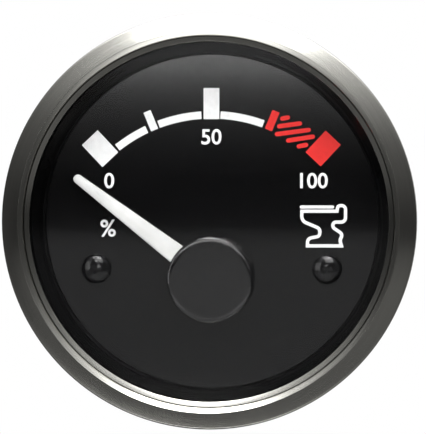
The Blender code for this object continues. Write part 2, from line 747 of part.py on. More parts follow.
def pointer_moulding(axis):
    """The white pointer: a hub disc with a blind sleeve, and a tapered blade with soft edges."""
    bore = SPINDLE_RADIUS + RUNNING_GAP
    bore_end_y = sleeve_rear_y - HUB_BORE_DEPTH
    hub = turned("pointer_blade", sharp(
        (0.0, hub_front_y),
        (hub_disc_radius, hub_front_y),
        (hub_disc_radius, hub_disc_rear_y),
        (HUB_SLEEVE_RADIUS, hub_disc_rear_y),
        (HUB_SLEEVE_RADIUS, sleeve_rear_y),
        (bore, sleeve_rear_y),
        (bore, bore_end_y),
        (0.0, bore_end_y),
    ), WHITE_MOULDING, axis, steps=BODY_STEPS, on_axis=True)
    root = hub_disc_radius - 2 * BLEND
    tip_radius = POINTER_TIP_WIDTH / 2
    tip = pointer_length - tip_radius
    outline = [(blade_half_width(root), root), (tip_radius, tip)]
    outline += [
        (tip_radius * math.cos(angle), tip + tip_radius * math.sin(angle))
        for angle in (math.pi / 6 * index for index in range(1, 6))
    ]
    outline += [(-tip_radius, tip), (-blade_half_width(root), root)]
    blade_rear_y = hub_front_y + POINTER_THICKNESS
    blade = flat(
        "pointer_blade_arm", [outline], hub_front_y, blade_rear_y, None, axis, edge=POINTER_EDGE_ROUND,
    )
    combine(hub, as_tool(solid_from_curve(blade)), "UNION")


def hub_cap(axis):
    """The black cap: a shallow cup with a rounded rim, notched where the blade comes out."""
    cap = turned("pointer_hub_cap", [
        (0.0, cap_front_y, 0.0),
        (HUB_CAP_RADIUS, cap_front_y, HUB_CAP_ROUND),
        (HUB_CAP_RADIUS, cap_rear_y, 0.0),
        (HUB_CAP_RADIUS - HUB_CAP_WALL, cap_rear_y, 0.0),
        (HUB_CAP_RADIUS - HUB_CAP_WALL, cap_ceiling_y, 0.0),
        (0.0, cap_ceiling_y, 0.0),
    ], BLACK_MOULDING, axis, steps=CAP_STEPS, on_axis=True, arc_steps=ARC_STEPS)
    half = blade_half_width(HUB_CAP_RADIUS - HUB_CAP_WALL) + SEAT_GAP
    notch = boxes("hub_cap_notch", [
        ((-half, half), (cap_ceiling_y, cap_rear_y + BLEND), (hub_disc_radius, HUB_CAP_RADIUS + BLEND)),
    ])
    combine(cap, notch, "DIFFERENCE")


def balance_weight(axis):
    """A brass arc under the hub disc, opposite the blade."""
    half = math.radians(WEIGHT_ANGLE_DEG) / 2
    steps = 8
    angles = [-math.pi / 2 - half + 2 * half * index / steps for index in range(steps + 1)]
    outer_radius = hub_disc_radius - SEAT_GAP
    inner_radius = HUB_SLEEVE_RADIUS + WEIGHT_SPACE
    outer = [(outer_radius * math.cos(a), outer_radius * math.sin(a)) for a in angles]
    inner = [(inner_radius * math.cos(a), inner_radius * math.sin(a)) for a in angles]
    front = hub_disc_rear_y + SEAT_GAP
    flat("balance_weight", [outer + inner[::-1]], front, front + WEIGHT_THICKNESS, BRASS, axis)


def spindle_and_rotor(axis):
    """The steel spindle, the rotor magnet at the middle of the movement and the brass stop arm."""
    front = sleeve_rear_y - HUB_BORE_DEPTH + SEAT_GAP
    rear = cup_bore_end_y - SEAT_GAP
    turned("spindle", sharp(
        (0.0, front),
        (SPINDLE_RADIUS, front),
        (SPINDLE_RADIUS, rear - SPINDLE_POINT),
        (0.0, rear),
    ), ZINC_STEEL, axis, steps=PIN_STEPS, on_axis=True)
    bore = SPINDLE_RADIUS + RUNNING_GAP
    half = ROTOR_THICKNESS / 2
    ring(
        "rotor_magnet", bore, ROTOR_RADIUS, movement_y - half, movement_y + half, MAGNET, axis,
        steps=BODY_STEPS,
    )
    arm_rear = movement_y - half - SEAT_GAP
    half_width = STOP_ARM_WIDTH / 2
    meet = math.asin(half_width / STOP_ARM_HUB_RADIUS)
    start = -math.pi / 2 + meet
    turn = 2 * (math.pi - meet)
    angles = [start + turn * index / PIN_STEPS for index in range(PIN_STEPS + 1)]
    hub = [(STOP_ARM_HUB_RADIUS * math.cos(a), STOP_ARM_HUB_RADIUS * math.sin(a)) for a in angles]
    outline = hub + [(-half_width, -STOP_ARM_LENGTH), (half_width, -STOP_ARM_LENGTH)]
    flat(
        "stop_arm", [outline, circle(bore, steps=PIN_STEPS)], arm_rear - STOP_ARM_THICKNESS, arm_rear,
        BRASS, axis,
    )


def stop_post_places():
    """Centres of the two stop posts, where the arm comes to rest at each end of the sweep."""
    reach = STOP_ARM_WIDTH / 2 + STOP_POST_RADIUS + RUNNING_GAP
    margin = math.asin(reach / STOP_POST_ORBIT)
    angles = (rest_angle - margin, -rest_angle + margin)
    return [(-STOP_POST_ORBIT * math.sin(a), -STOP_POST_ORBIT * math.cos(a)) for a in angles]


def bobbin_half(name, side, parent):
    """One half of the bobbin: a block with corner posts, a bearing boss and the rotor chamber.

    side is -1 for the front half and 1 for the rear half.
    """
    def span(near, far):
        ends = (movement_y + side * near, movement_y + side * far)
        return (min(ends), max(ends))

    parting = SEAT_GAP / 2
    block = (-bobbin_half_side, bobbin_half_side)
    shape = bmesh.new()
    add_box(shape, block, span(parting, bobbin_half_depth), block)
    mesh = bpy.data.meshes.new(name)
    shape.to_mesh(mesh)
    shape.free()
    bobbin = place(name, mesh, NATURAL_NYLON, (0.0, 0.0, 0.0), parent)

    sides = ((-bobbin_post_reach, -bobbin_post_foot), (bobbin_post_foot, bobbin_post_reach))
    posts = boxes(name + "_posts", [(x, span(parting, bobbin_post_depth), z) for x in sides for z in sides])
    combine(bobbin, posts, "UNION")
    boss = rods(
        name + "_boss", [(0.0, 0.0)], BOBBIN_BOSS_RADIUS,
        *span(bobbin_half_depth - BLEND, bobbin_boss_reach),
    )
    combine(bobbin, boss, "UNION")
    chamber = rods(
        name + "_chamber", [(0.0, 0.0)], chamber_radius, *span(-BLEND, chamber_half_depth), BODY_STEPS,
    )
    combine(bobbin, chamber, "DIFFERENCE")
    bore = rods(
        name + "_bore", [(0.0, 0.0)], BUSH_RADIUS + SEAT_GAP,
        *span(chamber_half_depth - BLEND, bobbin_boss_reach + BLEND),
    )
    combine(bobbin, bore, "DIFFERENCE")
    return bobbin


def bobbin_and_coils(axis):
    """The two bobbin halves, the four coil sections, bearings, return magnet and coil pins."""
    front = bobbin_half("bobbin_front", -1, axis)
    stop_room = rods(
        "stop_chamber", [(0.0, 0.0)], STOP_ARM_LENGTH + 2 * SIDE_GAP,
        movement_y - stop_chamber_depth, movement_y - chamber_half_depth + BLEND, BODY_STEPS,
    )
    combine(front, stop_room, "DIFFERENCE")
    posts = rods(
        "stop_posts", stop_post_places(), STOP_POST_RADIUS,
        movement_y - stop_chamber_depth - BLEND, movement_y - chamber_half_depth, PIN_STEPS,
    )
    combine(front, posts, "UNION")

    rear = bobbin_half("bobbin_rear", 1, axis)
    post_end_y = movement_y + bobbin_post_depth
    pin_front_y = post_end_y - COIL_PIN_SEAT + SEAT_GAP
    pin_rear_y = board_rear_y + 2 * COIL_PIN_RADIUS
    holes = rods(
        "coil_pin_seats", coil_pin_places, COIL_PIN_RADIUS + RUNNING_GAP,
        post_end_y - COIL_PIN_SEAT, post_end_y + BLEND, FINE_PIN_STEPS,
    )
    combine(rear, holes, "DIFFERENCE")
    for index, centre in enumerate(coil_pin_places):
        turned(f"coil_pin_{index + 1}", sharp(
            (0.0, pin_front_y),
            (COIL_PIN_RADIUS, pin_front_y),
            (COIL_PIN_RADIUS, pin_rear_y),
            (0.0, pin_rear_y),
        ), BRASS, axis, centre, steps=FINE_PIN_STEPS, on_axis=True)

    coil_sections(axis)
    bearings(axis)
    magnet_top = -bobbin_half_side - SEAT_GAP
    half = RETURN_MAGNET_WIDTH / 2
    flat("return_magnet", [[
        (-half, magnet_top), (-half, magnet_top - RETURN_MAGNET_HEIGHT),
        (half, magnet_top - RETURN_MAGNET_HEIGHT), (half, magnet_top),
    ]], movement_y + SIDE_GAP, movement_y + SIDE_GAP + RETURN_MAGNET_LENGTH, MAGNET, axis)


def rounded_rectangle(half_a, half_b, radius):
    """Points of a rectangle with round corners, about its own centre."""
    corners = [
        (half_a, half_b, radius), (-half_a, half_b, radius),
        (-half_a, -half_b, radius), (half_a, -half_b, radius),
    ]
    return fillet(corners, ARC_STEPS, closed=True)


def coil_sections(axis):
    """Four wound rings: the cosine pair round X on the bobbin, the sine pair round Z over them."""
    inner_side = bobbin_half_side + SEAT_GAP
    upright = (math.pi / 2, 0.0, math.pi / 2)
    level = (0.0, 0.0, math.pi / 2)
    for name, x, z, half_depth, turn in (
        ("cosine_coil_left", -coil_offset, 0.0, cosine_coil_depth, upright),
        ("cosine_coil_right", coil_offset, 0.0, cosine_coil_depth, upright),
        ("sine_coil_lower", 0.0, -coil_offset, sine_coil_depth, level),
        ("sine_coil_upper", 0.0, coil_offset, sine_coil_depth, level),
    ):
        window = rounded_rectangle(half_depth, inner_side, SEAT_GAP)
        outline = rounded_rectangle(half_depth + COIL_THICKNESS, inner_side + COIL_THICKNESS, COIL_CORNER)
        coil = flat(name, [outline, window], -COIL_WIDTH / 2, COIL_WIDTH / 2, COPPER_WIRE, axis)
        coil.location = (x, movement_y, z)
        coil.rotation_euler = turn


def bearings(axis):
    """The flanged front bush and the blind thrust cup behind, both brass."""
    bore = SPINDLE_RADIUS + RUNNING_GAP
    turned("front_bush", sharp(
        (bore, bush_front_y),
        (BUSH_FLANGE_RADIUS, bush_front_y),
        (BUSH_FLANGE_RADIUS, bush_seat_y),
        (BUSH_RADIUS, bush_seat_y),
        (BUSH_RADIUS, boss_front_y + BUSH_LENGTH),
        (bore, boss_front_y + BUSH_LENGTH),
    ), BRASS, axis, steps=SHAFT_STEPS)
    cup_front_y = cup_bore_end_y - THRUST_CUP_DEPTH
    turned("thrust_cup", sharp(
        (bore, cup_front_y),
        (BUSH_RADIUS, cup_front_y),
        (BUSH_RADIUS, cup_rear_y),
        (0.0, cup_rear_y),
        (0.0, cup_bore_end_y),
        (bore, cup_bore_end_y),
    ), BRASS, axis, steps=SHAFT_STEPS)


def shield_can(axis):
    """The steel can round the coils, open at the front, with holes for the coil pins behind."""
    front = movement_y - bobbin_post_depth
    can = turned("shield_can", sharp(
        (shield_bore_radius, front),
        (shield_radius, front),
        (shield_radius, shield_rear_y),
        (0.0, shield_rear_y),
        (0.0, shield_floor_y),
        (shield_bore_radius, shield_floor_y),
    ), ZINC_STEEL, axis, steps=BODY_STEPS)
    holes = rods(
        "shield_holes", coil_pin_places, SHIELD_HOLE_RADIUS,
        shield_floor_y - BLEND, shield_rear_y + BLEND, PIN_STEPS,
    )
    combine(can, holes, "DIFFERENCE")


def light_box(parent):
    """The white carrier: a cup with two dial bosses, two board bosses and openings in its floor."""
    box = turned("light_box", sharp(
        (light_box_bore_radius, light_box_front_y),
        (light_box_radius, light_box_front_y),
        (light_box_radius, box_rear_y),
        (0.0, box_rear_y),
        (0.0, box_floor_y),
        (light_box_bore_radius, box_floor_y),
    ), WHITE_MOULDING, parent, steps=INNER_RING_STEPS)
    leds = [(-LED_X, LED_Z), (LED_X, LED_Z)]
    screw_end_y = dial_front_y - SEAT_GAP + DIAL_SCREW_LENGTH
    boss_rear_y = box_floor_y + BLEND
    for tool_name, centres, radius, front in (
        ("dial_bosses", dial_screw_places, DIAL_BOSS_RADIUS, light_box_front_y),
        ("board_bosses", board_screw_places, BOARD_BOSS_RADIUS, box_rear_y - BOARD_BOSS_HEIGHT),
    ):
        combine(box, rods(tool_name, centres, radius, front, boss_rear_y), "UNION")
    floor_holes = (box_floor_y - BLEND, box_rear_y + BLEND)
    for tool_name, centres, radius, (front, rear), steps in (
        (
            "dial_screw_pilots", dial_screw_places, DIAL_SCREW_RADIUS + SEAT_GAP,
            (light_box_front_y - BLEND, screw_end_y + SEAT_GAP), SHAFT_STEPS,
        ),
        (
            "board_screw_pilots", board_screw_places, BOARD_SCREW_RADIUS + SEAT_GAP,
            (board_rear_y - BOARD_SCREW_LENGTH, box_rear_y + BLEND), SHAFT_STEPS,
        ),
        ("led_windows", leds, LED_FLANGE_RADIUS + SIDE_GAP, floor_holes, SHAFT_STEPS),
        ("movement_opening", [(0.0, pivot_z)], shield_radius - SHIELD_SEAT_WIDTH, floor_holes, BODY_STEPS),
    ):
        combine(box, rods(tool_name, centres, radius, front, rear, steps), "DIFFERENCE")


def circuit_board(parent):
    """The board with holes for terminals, screws and coil pins, and the parts soldered to it."""
    outlines = [circle(board_radius, steps=INNER_RING_STEPS)]
    outlines += [circle(TERMINAL_PIN_RADIUS + SEAT_GAP, centre) for centre in terminal_places.values()]
    outlines += [circle(BOARD_SCREW_RADIUS + SEAT_GAP, centre) for centre in board_screw_places]
    outlines += [
        circle(COIL_PIN_RADIUS + RUNNING_GAP, (x, pivot_z + z), FINE_PIN_STEPS) for x, z in coil_pin_places
    ]
    flat("circuit_board", outlines, board_front_y, board_rear_y, BOARD_GREEN, parent)
    for side, (x, z) in zip(("left", "right"), board_screw_places):
        seat_y = board_rear_y + SEAT_GAP
        tip_y = seat_y - BOARD_SCREW_LENGTH
        turned("board_screw_" + side, sharp(
            (0.0, tip_y),
            (BOARD_SCREW_RADIUS, tip_y + BOARD_SCREW_RADIUS),
            (BOARD_SCREW_RADIUS, seat_y),
            (BOARD_SCREW_HEAD_RADIUS, seat_y),
            (BOARD_SCREW_HEAD_RADIUS, seat_y + BOARD_SCREW_HEAD_HEIGHT / 2),
            (BOARD_SCREW_HEAD_RADIUS / 2, seat_y + BOARD_SCREW_HEAD_HEIGHT),
            (0.0, seat_y + BOARD_SCREW_HEAD_HEIGHT),
        ), ZINC_STEEL, parent, (x, z), steps=SHAFT_STEPS, on_axis=True)
    for side, x in (("left", -LED_X), ("right", LED_X)):
        led("led_" + side, x, LED_Z, parent)
    axial_part("resistor", RESISTOR_Z, RESISTOR_BODY_RADIUS, RESISTOR_TAN, parent)
    axial_part("diode", DIODE_Z, DIODE_BODY_RADIUS, DIODE_BLACK, parent)
    base_y = board_rear_y + SEAT_GAP
    turned("capacitor", [
        (0.0, base_y, 0.0),
        (CAPACITOR_RADIUS, base_y, BLEND),
        (CAPACITOR_RADIUS, base_y + CAPACITOR_HEIGHT, BLEND),
        (0.0, base_y + CAPACITOR_HEIGHT, 0.0),
    ], CAPACITOR_SLEEVE, parent, (CAPACITOR_X, CAPACITOR_Z), steps=SHAFT_STEPS, on_axis=True)


def led(name, x, z, parent):
    """A lamp on the board's front, its dome towards the dial."""
    base_y = board_front_y - SEAT_GAP
    top_y = base_y - LED_LENGTH
    dome = [
        (LED_RADIUS * math.sin(angle), top_y + LED_RADIUS * (1 - math.cos(angle)), 0.0)
        for angle in (math.pi / 2 * index / ARC_STEPS for index in range(ARC_STEPS + 1))
    ]
    turned(name, dome + sharp(
        (LED_RADIUS, base_y - LED_FLANGE_HEIGHT),
        (LED_FLANGE_RADIUS, base_y - LED_FLANGE_HEIGHT),
        (LED_FLANGE_RADIUS, base_y),
        (0.0, base_y),
    ), LED_CLEAR, parent, (x, z), steps=SHAFT_STEPS, on_axis=True)


def axial_part(name, z, radius, finish, parent):
    """A part that lies along X behind the board on two bent leads."""
    lead_y = board_rear_y + SEAT_GAP
    middle_y = lead_y + RESISTOR_RISE + LEAD_RADIUS
    half = RESISTOR_SPAN / 2
    bend = fillet([
        (-half, lead_y, 0.0), (-half, middle_y, 3 * LEAD_RADIUS),
        (half, middle_y, 3 * LEAD_RADIUS), (half, lead_y, 0.0),
    ], ARC_STEPS)
    curve = bpy.data.curves.new(name + "_leads", "CURVE")
    curve.dimensions = "3D"
    curve.bevel_depth = LEAD_RADIUS
    curve.bevel_resolution = 1
    curve.use_fill_caps = True
    spline = curve.splines.new("POLY")
    spline.points.add(len(bend) - 1)
    for point, (x, y) in zip(spline.points, bend):
        point.co = (x, y, 0.0, 1.0)
    leads = place(name + "_leads", curve, None, (0.0, 0.0, z), parent)
    leads = as_tool(solid_from_curve(leads))
    length = RESISTOR_BODY_LENGTH / 2
    body = turned(name, [
        (0.0, -length, 0.0), (radius, -length, BLEND), (radius, length, BLEND), (0.0, length, 0.0),
    ], finish, parent, steps=PIN_STEPS, on_axis=True)
    body.location = (0.0, middle_y, z)
    body.rotation_euler = (0.0, 0.0, math.pi / 2)
    combine(body, leads, "UNION")


def terminals(parent):
    """Three brass terminal studs, each headed inside the case, with a washer and a hexagon nut."""
    head_rear_y = case_floor_y - SEAT_GAP
    head_front_y = head_rear_y - TERMINAL_HEAD_HEIGHT
    end_y = case_rear_y + TERMINAL_LENGTH
    pin_y = board_front_y
    washer_y = pad_y + SEAT_GAP
    nut_y = washer_y + TERMINAL_WASHER_THICKNESS + SEAT_GAP
    bore = TERMINAL_RADIUS + SEAT_GAP
    for name, centre in terminal_places.items():
        turned("terminal_stud_" + name, sharp(
            (0.0, pin_y),
            (TERMINAL_PIN_RADIUS, pin_y),
            (TERMINAL_PIN_RADIUS, head_front_y),
            (TERMINAL_HEAD_RADIUS, head_front_y),
            (TERMINAL_HEAD_RADIUS, head_rear_y),
            (TERMINAL_RADIUS, head_rear_y),
            (TERMINAL_RADIUS, end_y - TERMINAL_TIP_CHAMFER),
            (TERMINAL_RADIUS - TERMINAL_TIP_CHAMFER, end_y),
            (0.0, end_y),
        ), BRASS, parent, centre, steps=SHAFT_STEPS, on_axis=True)
        ring(
            "terminal_washer_" + name, bore, TERMINAL_WASHER_RADIUS, washer_y,
            washer_y + TERMINAL_WASHER_THICKNESS, ZINC_STEEL, parent, centre, steps=SHAFT_STEPS,
        )
        hexagon = circle(TERMINAL_NUT_FLATS / math.sqrt(3), steps=6)
        flat(
            "terminal_nut_" + name, [hexagon, circle(bore)], nut_y, nut_y + TERMINAL_NUT_HEIGHT,
            BRASS, parent, centre, edge=NUT_CHAMFER / 2,
        )


def mount_studs(parent):
    """The two clamp studs, headed inside the case."""
    head_rear_y = case_floor_y - SEAT_GAP
    end_y = case_rear_y + MOUNT_STUD_LENGTH
    for side, centre in zip(("left", "right"), mount_stud_places):
        turned("mount_stud_" + side, sharp(
            (0.0, head_rear_y - MOUNT_STUD_HEAD_HEIGHT),
            (MOUNT_STUD_HEAD_RADIUS, head_rear_y - MOUNT_STUD_HEAD_HEIGHT),
            (MOUNT_STUD_HEAD_RADIUS, head_rear_y),
            (MOUNT_STUD_RADIUS, head_rear_y),
            (MOUNT_STUD_RADIUS, end_y - TERMINAL_TIP_CHAMFER),
            (MOUNT_STUD_RADIUS - TERMINAL_TIP_CHAMFER, end_y),
            (0.0, end_y),
        ), ZINC_STEEL, parent, centre, steps=SHAFT_STEPS, on_axis=True)


def clamp(parent):
    """The bracket with its lock washers, and the knurled nuts that drive it along the studs."""
    slide = empty("clamp_slide", (0.0, 0.0, 0.0), parent)
    bracket(slide)
    bore = MOUNT_STUD_RADIUS + SEAT_GAP
    for side, centre in zip(("left", "right"), mount_stud_places):
        ring(
            "lock_washer_" + side, bore, CLAMP_WASHER_RADIUS, clamp_washer_y,
            clamp_washer_y + CLAMP_WASHER_THICKNESS, ZINC_STEEL, slide, centre, steps=SHAFT_STEPS,
        )
        knurled_nut("clamp_nut_" + side, centre, slide)


def bracket(slide):
    """The strap: a U outline of (x, y) given its width along Z, with stud holes and toothed feet."""
    outer = bracket_outer_x
    inner = bracket_inner_x
    outline = fillet([
        (-outer, BRACKET_FOOT_Y, 0.0),
        (-outer, bridge_rear_y, BRACKET_BEND + BRACKET_SHEET),
        (outer, bridge_rear_y, BRACKET_BEND + BRACKET_SHEET),
        (outer, BRACKET_FOOT_Y, 0.0),
        (inner, BRACKET_FOOT_Y, 0.0),
        (inner, bridge_front_y, BRACKET_BEND),
        (-inner, bridge_front_y, BRACKET_BEND),
        (-inner, BRACKET_FOOT_Y, 0.0),
    ], ARC_STEPS, closed=True)
    half = BRACKET_WIDTH / 2
    strap = flat("mount_bracket", [outline], -half, half, ZINC_STEEL, slide)
    strap.location = (0.0, 0.0, 0.0)
    strap.rotation_euler = (0.0, 0.0, 0.0)
    strap = solid_from_curve(strap)
    holes = rods(
        "bracket_holes", mount_stud_places, BRACKET_HOLE_RADIUS,
        bridge_front_y - BLEND, bridge_rear_y + BLEND,
    )
    combine(strap, holes, "DIFFERENCE")
    notch = BRACKET_TOOTH_WIDTH / 2
    depth = (BRACKET_FOOT_Y - BLEND, BRACKET_FOOT_Y + BRACKET_TOOTH_DEPTH)
    notches = boxes("foot_notches", [
        ((-outer - BLEND, -inner + BLEND), depth, (-notch, notch)),
        ((inner - BLEND, outer + BLEND), depth, (-notch, notch)),
    ])
    combine(strap, notches, "DIFFERENCE")


def knurled_nut(name, centre, slide):
    """A thumb nut: a fluted grip with a plain collar against the lock washer."""
    bore = MOUNT_STUD_RADIUS + SEAT_GAP
    grip_y = clamp_nut_y + CLAMP_NUT_COLLAR_HEIGHT
    crests = circle(CLAMP_NUT_RADIUS, steps=2 * CLAMP_NUT_FLUTES)
    roots = circle(CLAMP_NUT_RADIUS - CLAMP_NUT_FLUTE_DEPTH, steps=2 * CLAMP_NUT_FLUTES)
    outline = [point for pair in zip(crests[0::2], roots[1::2]) for point in pair]
    nut = solid_from_curve(flat(
        name, [outline, circle(bore)], grip_y, grip_y + CLAMP_NUT_HEIGHT, ZINC_STEEL, slide, centre,
    ))
    collar = as_tool(ring(
        name + "_collar", bore, CLAMP_NUT_COLLAR_RADIUS, clamp_nut_y, grip_y + BLEND, None, slide,
        centre, steps=SHAFT_STEPS,
    ))
    combine(nut, collar, "UNION")


def build():
    """Model the whole gauge."""
    clear_scene()
    gauge = empty("gauge", (0.0, 0.0, 0.0))
    sheet_bezel(gauge)
    lens_and_seals(gauge)
    case_moulding(gauge)
    spacer(gauge)
    dial_face(gauge)
    movement = empty("movement_axis", (0.0, 0.0, pivot_z), gauge)
    bobbin_and_coils(movement)
    shield_can(movement)
    pointer_group(gauge)
    light_box(gauge)
    circuit_board(gauge)
    terminals(gauge)
    mount_studs(gauge)
    clamp(gauge)
    for obj in parts.objects:
        if obj.type == "MESH":
            smooth(obj)


build()
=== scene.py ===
"""Looks of a waste tank level gauge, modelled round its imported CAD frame.

Metres, +Z up. The gauge looks along -Y and the panel's front face is at Y = 0. Turned pieces are wires of
(radius, y) spun about Y. Print and the blade are wires of (x, z), and the strap is a wire of (x, y), that are
filled and extruded. The lens, the dial plate and the inner pieces keep their solids and only get finishes.
"""

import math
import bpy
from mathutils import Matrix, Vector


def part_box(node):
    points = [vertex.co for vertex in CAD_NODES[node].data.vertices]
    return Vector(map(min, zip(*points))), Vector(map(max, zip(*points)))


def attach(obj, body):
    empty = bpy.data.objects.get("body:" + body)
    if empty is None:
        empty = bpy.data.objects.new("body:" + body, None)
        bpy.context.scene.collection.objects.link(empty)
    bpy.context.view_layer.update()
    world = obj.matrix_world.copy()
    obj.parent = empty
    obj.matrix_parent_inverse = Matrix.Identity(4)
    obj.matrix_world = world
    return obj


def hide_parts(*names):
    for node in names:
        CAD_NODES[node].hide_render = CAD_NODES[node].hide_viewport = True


bl_info = {
    "name": "Waste Tank Level Gauge",
    "version": (1, 0, 0),
    "blender": (4, 5, 0),
    "location": "3D View > Sidebar > Gauge",
    "description": "Models the visible pieces, print, finishes and studio of a 52 mm panel gauge",
    "category": "Object",
}

import bmesh
import bpy
from bpy.props import FloatProperty, FloatVectorProperty, IntProperty, PointerProperty
from mathutils import Matrix, Vector

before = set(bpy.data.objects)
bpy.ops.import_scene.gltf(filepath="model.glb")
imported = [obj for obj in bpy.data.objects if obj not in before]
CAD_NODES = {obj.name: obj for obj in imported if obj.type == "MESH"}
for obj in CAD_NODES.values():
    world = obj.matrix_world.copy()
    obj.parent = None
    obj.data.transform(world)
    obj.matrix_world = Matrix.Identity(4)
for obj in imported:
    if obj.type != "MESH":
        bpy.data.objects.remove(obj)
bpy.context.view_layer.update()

MM = 0.001
WELD = 1e-7
BOOLEAN_WELD = 0.002 * MM
SMOOTH_ANGLE = math.radians(32.0)
AXIS_Y = (0.0, 1.0, 0.0)

# Values that several pieces share
M4_RADIUS = 2.0 * MM
M4_CLEARANCE = 2.2 * MM
THREAD_START_Y = 29.2 * MM
STUD_HEAD_REAR_Y = 26.6 * MM
WIRE_PITCH = 0.16 * MM
TURNED_STEPS = 40

# Places taken from the frame
BEZEL_LOW, BEZEL_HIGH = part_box("bezel")
DIAL_FRONT_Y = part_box("dial_plate")[0].y
CASE_REAR_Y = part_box("case")[1].y
BRACKET_LOW, BRACKET_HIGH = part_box("mount_bracket")
CAP_LOW, CAP_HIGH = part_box("pointer_hub_cap")
PIVOT_Z = (CAP_LOW.z + CAP_HIGH.z) / 2
REST_ANGLE = -math.radians(52.9)  # from straight up to the low end of the scale


def distance_value(name, description, default):
    """A length that a user may change."""
    return FloatProperty(
        name=name, description=description, default=default, subtype="DISTANCE", unit="LENGTH",
    )


def colour_value(name, description, default):
    """A linear colour that a user may change."""
    return FloatVectorProperty(
        name=name, description=description, default=default, subtype="COLOR", size=3, min=0.0, max=1.0,
    )


class GaugeSizes(bpy.types.PropertyGroup):
    """Sizes of the detail that the looks add to the frame."""

    round_steps: IntProperty(name="Round steps", description="Facets of the large turned pieces", default=160)
    fine_steps: IntProperty(name="Fine steps", description="Facets of small turned pieces", default=48)
    print_height: distance_value("Print height", "Thickness of the ink on the dial", 0.00003)
    scale_radius: distance_value("Scale radius", "Middle radius of the white scale arc", 0.02304)
    scale_width: distance_value("Scale width", "Width of the white scale arc", 0.00113)
    scale_drop: distance_value("Scale drop", "Distance of the scale's centre below the dial's", 0.0070)
    numeral_height: distance_value("Numeral height", "Height of the figures on the dial", 0.00235)
    symbol_line: distance_value("Symbol line", "Line width of the bowl symbol", 0.00049)
    thread_pitch: distance_value("Thread pitch", "Pitch of all stud threads", 0.0007)
    thread_depth: distance_value("Thread depth", "Depth of all stud threads", 0.0004)
    flutes: IntProperty(name="Flutes", description="Flutes round a thumb nut", default=22)


class GaugeColours(bpy.types.PropertyGroup):
    """Linear colours of the finishes."""

    stainless: colour_value("Stainless", "Spun bezel", (0.62, 0.612, 0.568))
    moulding: colour_value("Black moulding", "Case, cap and spacer", (0.012, 0.012, 0.013))
    dial: colour_value("Dial black", "Painted dial face", (0.0020, 0.0020, 0.0022))
    rubber: colour_value("Rubber", "Gasket and seal", (0.020, 0.020, 0.020))
    white_ink: colour_value("White ink", "White print", (0.81, 0.81, 0.81))
    red_ink: colour_value("Red ink", "Red print", (0.68, 0.020, 0.017))
    pointer: colour_value("Pointer white", "Moulded pointer", (0.60, 0.60, 0.59))
    zinc: colour_value("Zinc", "Plated steel", (0.58, 0.59, 0.60))
    brass: colour_value("Brass", "Terminal studs and nuts", (0.74, 0.53, 0.24))
    copper: colour_value("Copper", "Enamelled coil wire", (0.60, 0.22, 0.08))


def sizes():
    """The user's sizes."""
    return bpy.context.scene.gauge_sizes


def colours():
    """The user's colours."""
    return bpy.context.scene.gauge_colours


# Modelling by hand, in edit mode


def activate(obj):
    """Make one object the only one that is selected and active."""
    bpy.ops.object.select_all(action="DESELECT")
    obj.select_set(True)
    bpy.context.view_layer.objects.active = obj


def edit_all():
    """Enter edit mode with all of the active mesh selected."""
    bpy.ops.object.mode_set(mode="EDIT")
    bpy.ops.mesh.select_mode(type="VERT")
    bpy.ops.mesh.select_all(action="SELECT")


def leave_edit():
    """Go back to object mode."""
    bpy.ops.object.mode_set(mode="OBJECT")


def close_shape():
    """Point the normals of the whole shape outward, leave edit mode and give the object."""
    bpy.ops.mesh.select_all(action="SELECT")
    bpy.ops.mesh.normals_make_consistent(inside=False)
    leave_edit()
    return bpy.context.object


def apply_place():
    """Put the active object's place, turn and scale into its mesh."""
    bpy.ops.object.transform_apply(location=True, rotation=True, scale=True)


def rounded(corners, steps=6, closed=True):
    """Points of a wire whose corners (a, b, radius) become arcs. Radius 0 stays sharp."""
    points = []
    count = len(corners)
    for index, (a, b, radius) in enumerate(corners):
        if radius <= 0 or (not closed and index in (0, count - 1)):
            points.append((a, b))
            continue
        here = Vector((a, b))
        before = Vector(corners[index - 1][:2]) - here
        after = Vector(corners[(index + 1) % count][:2]) - here
        half = before.angle(after) / 2
        reach = min(radius / math.tan(half), 0.499 * before.length, 0.499 * after.length)
        radius = reach * math.tan(half)
        middle = (before.normalized() + after.normalized()).normalized()
        centre = here + middle * radius / math.sin(half)
        start = here + before.normalized() * reach - centre
        end = here + after.normalized() * reach - centre
        turn = start.angle_signed(end)
        for step in range(steps + 1):
            angle = -turn * step / steps
            points.append((
                centre.x + start.x * math.cos(angle) - start.y * math.sin(angle),
                centre.y + start.x * math.sin(angle) + start.y * math.cos(angle),
            ))
    return points


def draw(name, points, closed=True):
    """A wire through (x, y, z) points: a plane merged to one vertex, then extruded from point to point."""
    bpy.ops.object.select_all(action="DESELECT")
    bpy.ops.mesh.primitive_plane_add(size=MM, location=(0.0, 0.0, 0.0))
    obj = bpy.context.object
    obj.name = name
    obj.data.name = name
    edit_all()
    bpy.ops.mesh.merge(type="CENTER")
    bpy.ops.transform.translate(value=points[0])
    stops = [Vector(point) for point in points]
    if closed:
        stops.append(stops[0])
    for before, after in zip(stops, stops[1:]):
        bpy.ops.mesh.extrude_region_move(TRANSFORM_OT_translate={"value": after - before})
    bpy.ops.mesh.select_all(action="SELECT")
    bpy.ops.mesh.remove_doubles(threshold=WELD)
    return obj


def lathe(name, profile, steps, centre=(0.0, 0.0), closed=True, angle=2 * math.pi):
    """Spin a profile of (radius, y) about the Y line through a centre (x, z)."""
    draw(name, [(centre[0] + radius, y, centre[1]) for radius, y in profile], closed)
    bpy.ops.mesh.spin(steps=steps, angle=angle, center=(centre[0], 0.0, centre[1]), axis=AXIS_Y)
    bpy.ops.mesh.select_all(action="SELECT")
    bpy.ops.mesh.remove_doubles(threshold=WELD)
    return close_shape()


